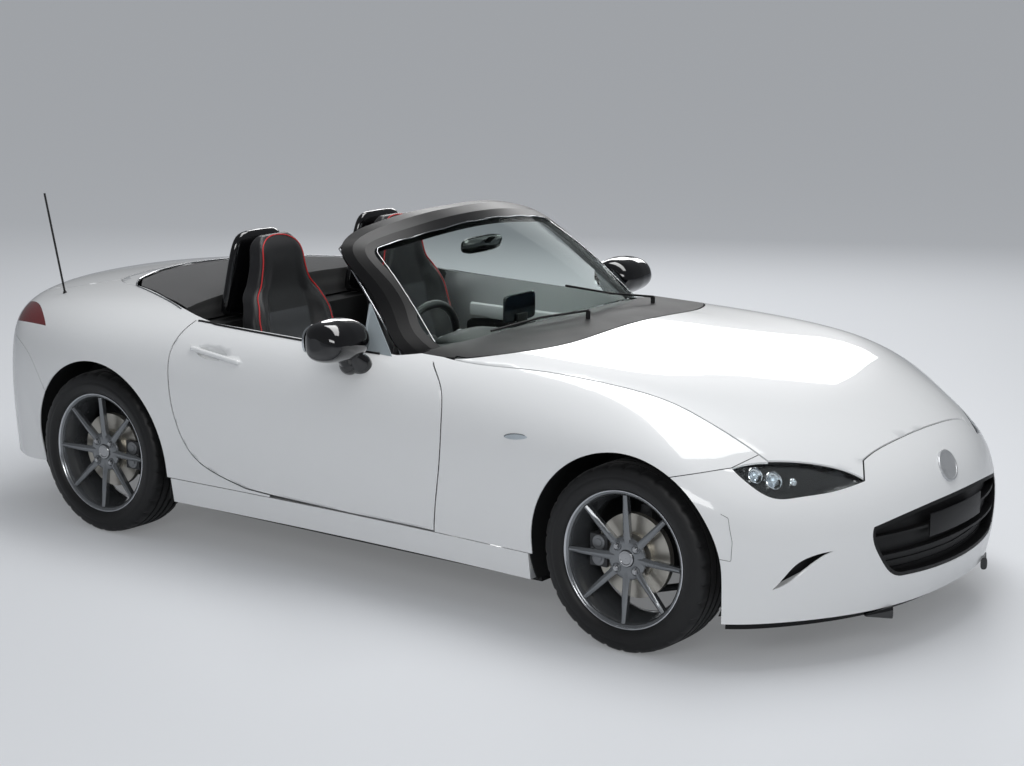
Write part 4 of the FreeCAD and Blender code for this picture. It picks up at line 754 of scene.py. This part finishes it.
glass_line = [(295.5, 598.6), (189.3, 570.8), (69.1, 537.9), (-30.0, 508.0), (-41.8, 490.0),
              (-30.2, 438.1), (-7.1, 347.0), (16.0, 190.9), (25.2, 0)]
glass_line = spread(glass_line + [(x, -y) for x, y in reversed(glass_line[:-1])], 3)
line = [landed(["windscreen_frame", "windscreen_glass"], (x, y, above), down, 0.5)[0]
        for x, y in glass_line]
cord_along(line, 2.2 * mm, "glass_bead", bright_metal_and_painted_highlight)
pillar_line = [(263, 695, 764), (235, 691, 808), (108, 653, 914), (-19, 613, 1020),
               (-144, 569, 1117), (-166, 486, 1150), (-158, 373, 1176), (-134, 208, 1199),
               (-124, 0, 1204)]
well_line = [(-815.6, 663), (-995.8, 585), (-1244, 472), (-1340, 364), (-1412, 206), (-1449, 0)]
belt_line = [(160, 719), (80, 720), (-166, 721), (-420, 721), (-600, 719), (-690, 700)]
for side_name, side in both_sides:
    line = [Vector((x - 3, y * side, z - 6)) * mm for x, y, z in pillar_line]
    # Down each pillar the bright cord is a painted highlight on the rubber strip.
    cord_along(line[:5], 3.4 * mm, "pillar_painted_highlight_" + side_name, bright_metal_and_painted_highlight)
    cord_along(line[4:], 4.5 * mm, "header_seal_" + side_name, seal_rubber)
    line = [landed(["quarter_" + side_name, "rear_deck", "boot_lid"],
                   (x - 4, (y + 5) * side, above), down, 0.8)[0] for x, y in spread(well_line, 4)]
    cord_along(line, 3.2 * mm, "cockpit_bead_" + side_name, bright_metal_and_painted_highlight)
    line = [landed(["door_" + side_name], (x, (y + 3) * side, above), down, 0.5)[0]
            for x, y in spread(belt_line, 4)]
    cord_along(line, 4.2 * mm, "belt_seal_" + side_name, seal_rubber,
               side_name + "_door")


# Lamps: a black housing with two projectors under a clear cover, and a small side lamp.
# Polycarbonate over bright reflectors; the housing is set 16 mm below the cover.

clear_cover = surface("clear_polycarbonate", "#F2F5F6", 0.02, 5.0, 0.001, 0.01, 0.03,
                      Transmission_Weight=1.0, IOR=1.08, Coat_Weight=0.2, Coat_Roughness=0.02)
reflector = surface("reflector_chrome", "#E2E4E6", 0.06, 2.0, 0.01, 0.04, 0.08, Metallic=1.0)
bulb_glass = surface("projector_glass", "#DCE6EE", 0.02, 1.2, 0.02, 0.01, 0.05,
                     Transmission_Weight=0.85, IOR=1.45)
lamp_drop = 16


def faces_out(bm):
    """The lamp faces that show, told by their normals."""
    bm.normal_update()
    return {face for face in bm.faces if face.normal.dot(
        Vector((0.5, math.copysign(0.35, face.calc_center_median().y), 0.8))) > 0.5}


housing = copy_of("headlamps")
shown = faces_out(housing)
for vert in housing.verts:
    normals = [face.normal for face in vert.link_faces if face in shown]
    if normals:
        vert.co -= sum(normals, Vector()).normalized() * lamp_drop * mm
piece_from(housing, "lamp_housing", lamp_black, "body", ["headlamps"], angle=30)
cover = copy_of("headlamps")
keep = faces_out(cover)
bmesh.ops.delete(cover, geom=[face for face in cover.faces if face not in keep], context="FACES")
bmesh.ops.solidify(cover, geom=cover.faces[:], thickness=2.0 * mm)
bmesh.ops.recalc_face_normals(cover, faces=cover.faces)
piece_from(cover, "lamp_cover", clear_cover, angle=30)


def facing(bm, place, way):
    """Turns a part spun about Y to face a way, and moves it to a place in metres."""
    turn = Vector((0, 1, 0)).rotation_difference(Vector(way)).to_matrix().to_4x4()
    bmesh.ops.transform(bm, matrix=Matrix.Translation(place) @ turn, verts=bm.verts)
    return bm


def dome(radius, rise):
    """A shallow glass dome about Y, flat below, in mm."""
    arc = [(rise * math.sin(turn), radius * math.cos(turn) + 0.3)
           for turn in (step / 8 * math.pi / 2 for step in range(9))]
    return spun([(-2, radius + 0.3)] + arc + [(-2, 0.3)], 32)


side_lamp_long, side_lamp_tall = 46, 10
side_lamp_turns = [math.tau * step / 28 for step in range(28)]
for side_name, side in both_sides:
    rings, domes = bmesh.new(), bmesh.new()
    for x, y, radius in ((1586, 664, 25), (1632, 632, 28), (1676, 590, 11)):
        spot, normal = landed(["headlamps"], (x, y * side, above), down, 3 - lamp_drop)
        way = (normal + Vector((0.5, 0, 0))).normalized()
        dish = [(-6, radius), (7, radius + 1), (8, radius - 0.5), (2, radius - 4), (0, radius - 9),
                (0, 0.5), (-6, 0.5)]
        joined(rings, facing(spun(dish, 40), spot, way))
        joined(domes, facing(dome(radius - 8, 8), spot, way))
    piece_from(rings, "lamp_reflectors_" + side_name, reflector)
    piece_from(domes, "lamp_projectors_" + side_name, bulb_glass)
    spot, normal = landed(["fender_" + side_name], (810, aside * side, 632), (0, -side, 0), 0.6)
    loops = [[spot + normal * depth * mm
              + Vector((side_lamp_long * math.cos(turn) * swell, 0,
                        side_lamp_tall * math.sin(turn) * swell + 4 * math.cos(turn))) * mm
              for turn in side_lamp_turns] for depth, swell in ((-3, 1.0), (1, 1.0), (2.4, 0.8))]
    piece_from(lofted(loops), "side_lamp_" + side_name, bulb_glass, angle=40)
    rim = [place + normal * 0.5 * mm for place in loops[0]]
    cord_along(rim + rim[:1], 1.6 * mm, "side_lamp_rim_" + side_name, lamp_black)


# Nose: a blank plate in the grille, a plain round badge disc, the tow cover's outline, the
# dark backs of the corner slits, the grille's wires and the lip. Black plastic, satin silver.

front_plate_section = [(1, 352), (3, 350), (4, 354), (4, 420), (3, 424), (1, 422)]
plate_loops = []
for y in range(-180, 181, 30):
    x = landed(["front_grille"], (ahead, y, 386), backward)[0].x / mm
    plate_loops.append([Vector((x + dx, y, z)) * mm for dx, z in front_plate_section])
piece_from(lofted(plate_loops), "blank_plate", satin_black, angle=30)
spot, normal = landed(["hood", "front_bumper"], (ahead, 0, 539), backward, 0.3)
badge = spun([(-4, 46), (3, 46), (5, 44), (5, 40), (3, 38), (3.4, 14), (3.6, 0.5), (-4, 0.5)], 64)
bmesh.ops.scale(badge, vec=(1.35, 1, 1), verts=badge.verts)
badge_silver = surface("badge_satin_silver", "#C9CBCD", 0.32, 0.8, 0.01, 0.28, 0.38, Metallic=0.55)
piece_from(facing(badge, spot, normal), "badge_disc", badge_silver, angle=40)
outline = [(1552, 496), (1572, 484), (1588, 412), (1586, 352), (1556, 358)]
for side_name, side in both_sides:
    line = [landed(["front_bumper"], (x, aside * side, z), (0, -side, 0))[0]
            for x, z in spread(outline, 4)]
    cord_along(line, 0.7 * mm, "tow_cover_gap_" + side_name, seal_rubber)

slit_places = [(728, 244), (690, 285), (640, 328), (600, 350), (548, 362)]
slit_section = [(-24, 34), (24, 34), (24, 38), (-24, 38)]
for side_name, side in both_sides:
    loops = []
    for y, z in slit_places:
        x = landed(["front_bumper"], (ahead, y * side, z), backward)[0].x / mm
        loops.append([Vector((x - deep, (y + rise * 0.5) * side, z + rise)) * mm
                      for rise, deep in slit_section])
    piece_from(lofted(loops), "slit_backing_" + side_name, black_plastic,
               angle=30)
    fin = [ring_at((1846 + 22 * k, (420 - 45 * k) * side, 140 - 3 * k), (9, 7 * side, 0),
                   (0, 0, 5 + 8 * k), 3, 20) for k in (0, 1, 2)]
    piece_from(lofted(fin), "lip_winglet_" + side_name, gloss_black)
for z in (292, 268):
    line = [landed(["front_grille"], (ahead, y, z + abs(y) * 0.02), backward, 1.5)[0]
            for y in range(-360, 361, 30)]
    cord_along(line, 1.8 * mm, "grille_wire_%d" % z, satin_black)
lip_top, lip_height_share = 0.153, 0.45
lip_tail, lip_shift, lip_reach_share = 1.561, 0.005, 0.95
lip_width_share = 0.982
lip = copy_of("front_lip")
for vert in lip.verts:
    vert.co.z = lip_top - (lip_top - vert.co.z) * lip_height_share
    vert.co.x = lip_tail + lip_shift + (vert.co.x - lip_tail) * lip_reach_share
    vert.co.y *= lip_width_share
piece_from(lip, "front_lip_edge", satin_black, "body", ["front_lip"], angle=30)


# Brake calipers and door mirrors: cast two-piston bodies, and silvered glass and a gloss
# black foot for each pod.

caliper_cast = surface("caliper_casting", "#8F9194", 0.45, 1.4, 0.12, 0.38, 0.52, Metallic=0.6)
caliper_body = {"front_left": "steer_left", "front_right": "steer_right", "rear_left": "body",
                "rear_right": "body"}
for corner, body in caliper_body.items():
    lean = -121 if corner.startswith("front") else 121
    block = bmesh.new()
    for rise in (-26, 26):
        joined(block, round_bar(23, 30, 40.5, 28, (lean, rise)))
        joined(block, round_bar(13, 38, 43.5, 24, (lean, rise)))
    for step in (24, -24):
        joined(block, round_bar(7, 34, 41.5, 12, (lean + step, 0)))
    piece_from(at_axle(block, corner), "caliper_" + corner, caliper_cast, body,
               angle=40, bevel=1.2 * mm)

mirror_silver = surface("mirror_silver", "#E8ECEE", 0.03, 3.0, 0.003, 0.02, 0.04, Metallic=1.0)
for side_name, side in both_sides:
    loops = [ring_at((x, 852 * side, 859), (0, 86 * swell, 0), (0, 0, 52 * swell), 2.8)
             for x, swell in ((12, 1), (3, 1), (1.5, 0.97))]
    piece_from(lofted(loops), "mirror_glass_" + side_name, mirror_silver,
               side_name + "_door", angle=40)
    loops = [ring_at((x, y * side, z), (wide, 0, 0), (0, 0, tall), 2.2)
             for x, y, z, wide, tall in ((112, 748, 764, 42, 38), (112, 762, 766, 46, 43),
                                         (106, 790, 780, 42, 40), (86, 814, 812, 30, 26))]
    piece_from(lofted(loops), "mirror_foot_" + side_name, gloss_black,
               side_name + "_door", angle=50, levels=1)


# Cabin: steering wheel, instruments, centre screen, vents, rear-view mirror, door trims,
# gear lever, handbrake and pedals, in grained plastic, leather and satin metal.

satin_metal = surface("satin_trim_metal", "#A9ABAD", 0.3, 0.7, 0.02, 0.26, 0.36, Metallic=1.0)
dark_glass = surface("display_glass", "#10161D", 0.06, 2.0, 0.005, 0.05, 0.09, Coat_Weight=1.0)
wheel_axis = Vector((-0.98708, 0, 0.16024))
wheel_up = Vector((0.16024, 0, 0.98708))
wheel_hub = Vector((51.5, -340, 743.1))
grip_radius, rim_radius = 14.5, 168
tube = [(grip_radius * math.cos(turn), rim_radius + grip_radius * math.sin(turn))
        for turn in (math.tau * step / 20 for step in range(20))]
rim = facing(spun(tube, 72), wheel_hub * mm, wheel_axis)
for along in (Vector((0, 1, 0)), Vector((0, -1, 0)), -wheel_up):
    flat = wheel_axis.cross(along)
    loops = [ring_at(wheel_hub + along * reach + wheel_axis * lift, flat * wide, wheel_axis * deep)
             for reach, lift, wide, deep in ((40, -6, 26, 8), (90, -7, 17, 6), (130, -3, 15, 6),
                                             (164, 0, 19, 7))]
    joined(rim, lofted(loops))
piece_from(rim, "steering_rim", seat_leather, "steering", ["steering_wheel"],
           angle=50)
loops = [ring_at(wheel_hub + wheel_axis * lift, (0, 62 * swell, 0), wheel_up * 54 * swell, 3)
         for lift, swell in ((-50, 0.55), (-16, 0.8), (-6, 1), (10, 1), (18, 0.9), (22, 0.6))]
piece_from(lofted(loops), "steering_pad", black_plastic, "steering", angle=50,
           levels=1)
loops = [ring_at(wheel_hub + wheel_axis * lift, (0, 24 * swell, 0), wheel_up * 24 * swell, 2)
         for lift, swell in ((18, 1), (23.5, 1), (24.5, 0.9))]
piece_from(lofted(loops), "steering_centre_disc", satin_metal, "steering")
loops = [ring_at((x, -340, z), (0, wide, 0), (0, 0, tall), 2.6)
         for x, z, wide, tall in ((205, 792, 160, 34), (215, 797, 168, 40), (262, 806, 160, 34),
                                  (330, 808, 130, 18))]
piece_from(lofted(loops), "instrument_hood", black_plastic, angle=50)
dials, faces = bmesh.new(), bmesh.new()
for y, radius in ((-340, 46), (-440, 36), (-240, 36)):
    place, glass_radius = Vector((204, y, 790)) * mm, radius - 5
    joined(dials, facing(spun([(0, radius), (6, radius), (8, radius - 3), (5, glass_radius),
                               (0, glass_radius)], 48), place, backward))
    joined(faces, facing(spun([(0, glass_radius), (3, glass_radius), (3, 0.5), (0, 0.5)], 48),
                         place, backward))
for y in (-600, -130, 130, 600):
    place = Vector((206, y, 745)) * mm
    joined(dials, facing(spun([(-8, 42), (6, 42), (9, 39), (4, 34), (-8, 34)], 48), place,
                         backward))
    joined(faces, facing(spun([(-8, 34), (0, 33), (2, 8), (2, 0.5), (-8, 0.5)], 32), place,
                         backward))
piece_from(dials, "dial_and_vent_rings", satin_metal)
piece_from(faces, "dial_and_vent_faces", dark_glass)
loops = [ring_at((x, -20, z), (0, 92 * swell, 0), (0, 0, 50 * swell), 8)
         for x, z, swell in ((226, 872, 0.96), (222, 872, 1), (216, 870, 1), (214, 870, 0.97))]
piece_from(lofted(loops), "centre_screen", dark_glass, angle=30)
loops = [ring_at((232, -20, z), (6, 0, 0), (0, 30, 0), 4) for z in (812, 850)]
piece_from(lofted(loops), "screen_foot", black_plastic, angle=40)
loops = [ring_at((x, 0, z), (0, 118 * swell, 0), (0, 0, 30 * swell), 3.2)
         for x, z, swell in ((62, 1084, 0.5), (52, 1082, 0.85), (40, 1080, 1), (32, 1080, 1),
                             (30, 1080, 0.96))]
piece_from(lofted(loops), "rear_view_mirror", gloss_black, angle=40)
loops = [ring_at((x, 0, z), (12, 0, 0), (0, 14, 0), 2) for x, z in ((58, 1086), (84, 1110))]
piece_from(lofted(loops), "mirror_stalk", black_plastic, angle=40)
card_y, card_foot = 715.5, 300
card_outline = [(card_y, 305), (707, 312), (705, 540), (674, 556), (670, 574), (676, 592),
                (702, 606), (706, 640), (card_y, 646)]
card_rows = [(-585, 0.35), (-560, 0.8), (-480, 1), (60, 1), (150, 0.6), (212, 0.35)]
cap_outline = [(715, 652), (704, 654), (699, 676), (703, 700), (712, 706)]
pull_line = [(-60, 706, 668), (-80, 690, 672), (-150, 686, 676), (-220, 690, 672),
             (-240, 706, 668)]
for side_name, side in both_sides:
    loops = [[Vector((x, (card_y + (y - card_y) * swell) * side,
                      card_foot + (z - card_foot) * (0.9 + 0.1 * swell))) * mm
              for y, z in card_outline] for x, swell in card_rows]
    piece_from(lofted(loops), "door_trim_" + side_name, black_plastic,
               side_name + "_door", angle=40)
    loops = [[Vector((x, y * side, z)) * mm for y, z in cap_outline] for x in (-560, -200, 130)]
    piece_from(lofted(loops), "door_cap_" + side_name, paint,
               side_name + "_door", angle=40)
    grip = [Vector((x, y * side, z)) * mm for x, y, z in pull_line]
    cord_along(grip, 7 * mm, "door_pull_" + side_name, satin_metal,
               side_name + "_door")
loops = [ring_at((-70 + 4 * k, 0, z), (wide, 0, 0), (0, wide, 0), 2.4)
         for k, (z, wide) in enumerate(((531, 58), (540, 50), (552, 34), (566, 20), (590, 10)))]
piece_from(lofted(loops), "gear_gaiter", seat_leather, angle=60)
knob = [ring_at((-52, 0, z), (wide, 0, 0), (0, wide, 0), 2.2)
        for z, wide in ((588, 10), (594, 20), (610, 25), (626, 24), (636, 15))]
piece_from(lofted(knob), "gear_knob", satin_metal, angle=50, levels=1)
line = [Vector((x, 45, z)) * mm for x, z in ((-330, 534), (-290, 556), (-220, 584), (-120, 606))]
cord_along(line, 13 * mm, "handbrake_lever", seat_leather, sides=16)
pedals = bmesh.new()
pad_tall = Vector((0.35, 0, 0.94)) * 42
for y, wide in ((-250, 24), (-345, 34), (-440, 26)):
    joined(pedals, lofted([ring_at((x, y, 265), (0, wide, 0), pad_tall, 5) for x in (662, 670)]))
    joined(pedals, lofted([ring_at((676 + k * 30, y, 280 + k * 120), (5, 0, 0), (0, 9, 0), 4)
                           for k in range(3)]))
piece_from(pedals, "pedals", satin_metal, angle=40)


# Engine: a cast block, a ribbed cam cover, an intake with four runners, and two hoses.
# Sand-cast alloy with a crackled black cover; it shows only under the open hood.

engine_cast = surface("engine_alloy_casting", "#8A8C8E", 0.5, 1.5, 0.3, 0.42, 0.6, Metallic=0.7)
engine_x = 1136
block_rings = [(245, 190, 120), (300, 240, 165), (520, 245, 175), (548, 238, 166)]
rib_rings = [(-5, 240, 170), (-3, 250, 184), (3, 250, 184), (5, 240, 170)]


def engine_stack(rows, power, lift=0):
    """A closed stack of level outlines over the engine's middle, from rows of z and half-sizes."""
    return lofted([ring_at((engine_x, 0, z + lift), (long, 0, 0), (0, wide, 0), power)
                   for z, long, wide in rows])


block = engine_stack(block_rings, 8)
for z in (340, 400, 460):
    joined(block, engine_stack(rib_rings, 8, z))
piece_from(block, "engine_casting", engine_cast, "body", ["engine_block"], angle=40)
cover_rings = [(548, 232, 128), (556, 240, 136), (566, 240, 136), (572, 224, 118), (630, 214, 104),
               (640, 204, 94)]
cam_cover = engine_stack(cover_rings, 6)
for x in range(976, 1300, 40):
    joined(cam_cover, lofted([ring_at((x, y, 640), (6, 0, 0), (0, 0, 5), 4) for y in (-84, 84)]))
piece_from(cam_cover, "cam_cover", black_plastic, angle=40)
cap = facing(spun([(0, 26), (14, 26), (18, 22), (18, 0.5), (0, 0.5)], 24),
             Vector((1310, 60, 638)) * mm, (0, 0, 1))
piece_from(cap, "oil_filler_cap", satin_metal, angle=40)
plenum = lofted([ring_at((x, 196, 560), (0, 32 * swell, 0), (0, 0, 36 * swell), 2.6)
                 for x, swell in ((930, 0.5), (945, 1), (1330, 1), (1345, 0.5))])
piece_from(plenum, "intake_plenum", engine_cast, angle=50)
for index, x in enumerate((975, 1085, 1195, 1305)):
    line = [Vector((x, y, z)) * mm for y, z in ((190, 575), (165, 606), (130, 604), (108, 585))]
    cord_along(line, 19 * mm, "intake_runner_%d" % index, engine_cast, sides=20)
hose_line = [(1370, 90, 520), (1420, 110, 530), (1480, 160, 500), (1540, 190, 470)]
for index, side in enumerate((1, -1)):
    line = [Vector((x, y * side, z)) * mm for x, y, z in hose_line]
    cord_along(line, 20 * mm, "coolant_hose_%d" % index, seal_rubber, sides=20)


# Tail: a blank rear plate that follows the bumper, and hollow exhaust tips.
# Satin black plastic, and polished steel over the pipes' ends. Both are guessed.

plate_low, plate_high, plate_half = 314, 430, 230
plate_section = [(9, plate_low), (-0.5, plate_low), (-0.9, plate_low + 6),
                 (-0.9, plate_high - 6), (-0.5, plate_high), (9, plate_high)]
plate_loops = []
for step in range(13):
    y = -plate_half + plate_half / 6 * step
    x = min(landed(["rear_bumper"], (-ahead, y, z), (1, 0, 0))[0].x / mm
            for z in (plate_low, (plate_low + plate_high) / 2, plate_high))
    plate_loops.append([Vector((x + dx, y, z)) * mm for dx, z in plate_section])
piece_from(lofted(plate_loops), "rear_blank_plate", satin_black, angle=30)
for index, y in enumerate((-347.0, -433.75)):
    tip = spun([(0, 33.5), (40, 34), (42, 33), (40, 29.5), (0, 29.5)], 48)
    piece_from(facing(tip, Vector((-1871, y, 193.7)) * mm, backward), "exhaust_tip_%d" % index,
               reflector, angle=40)
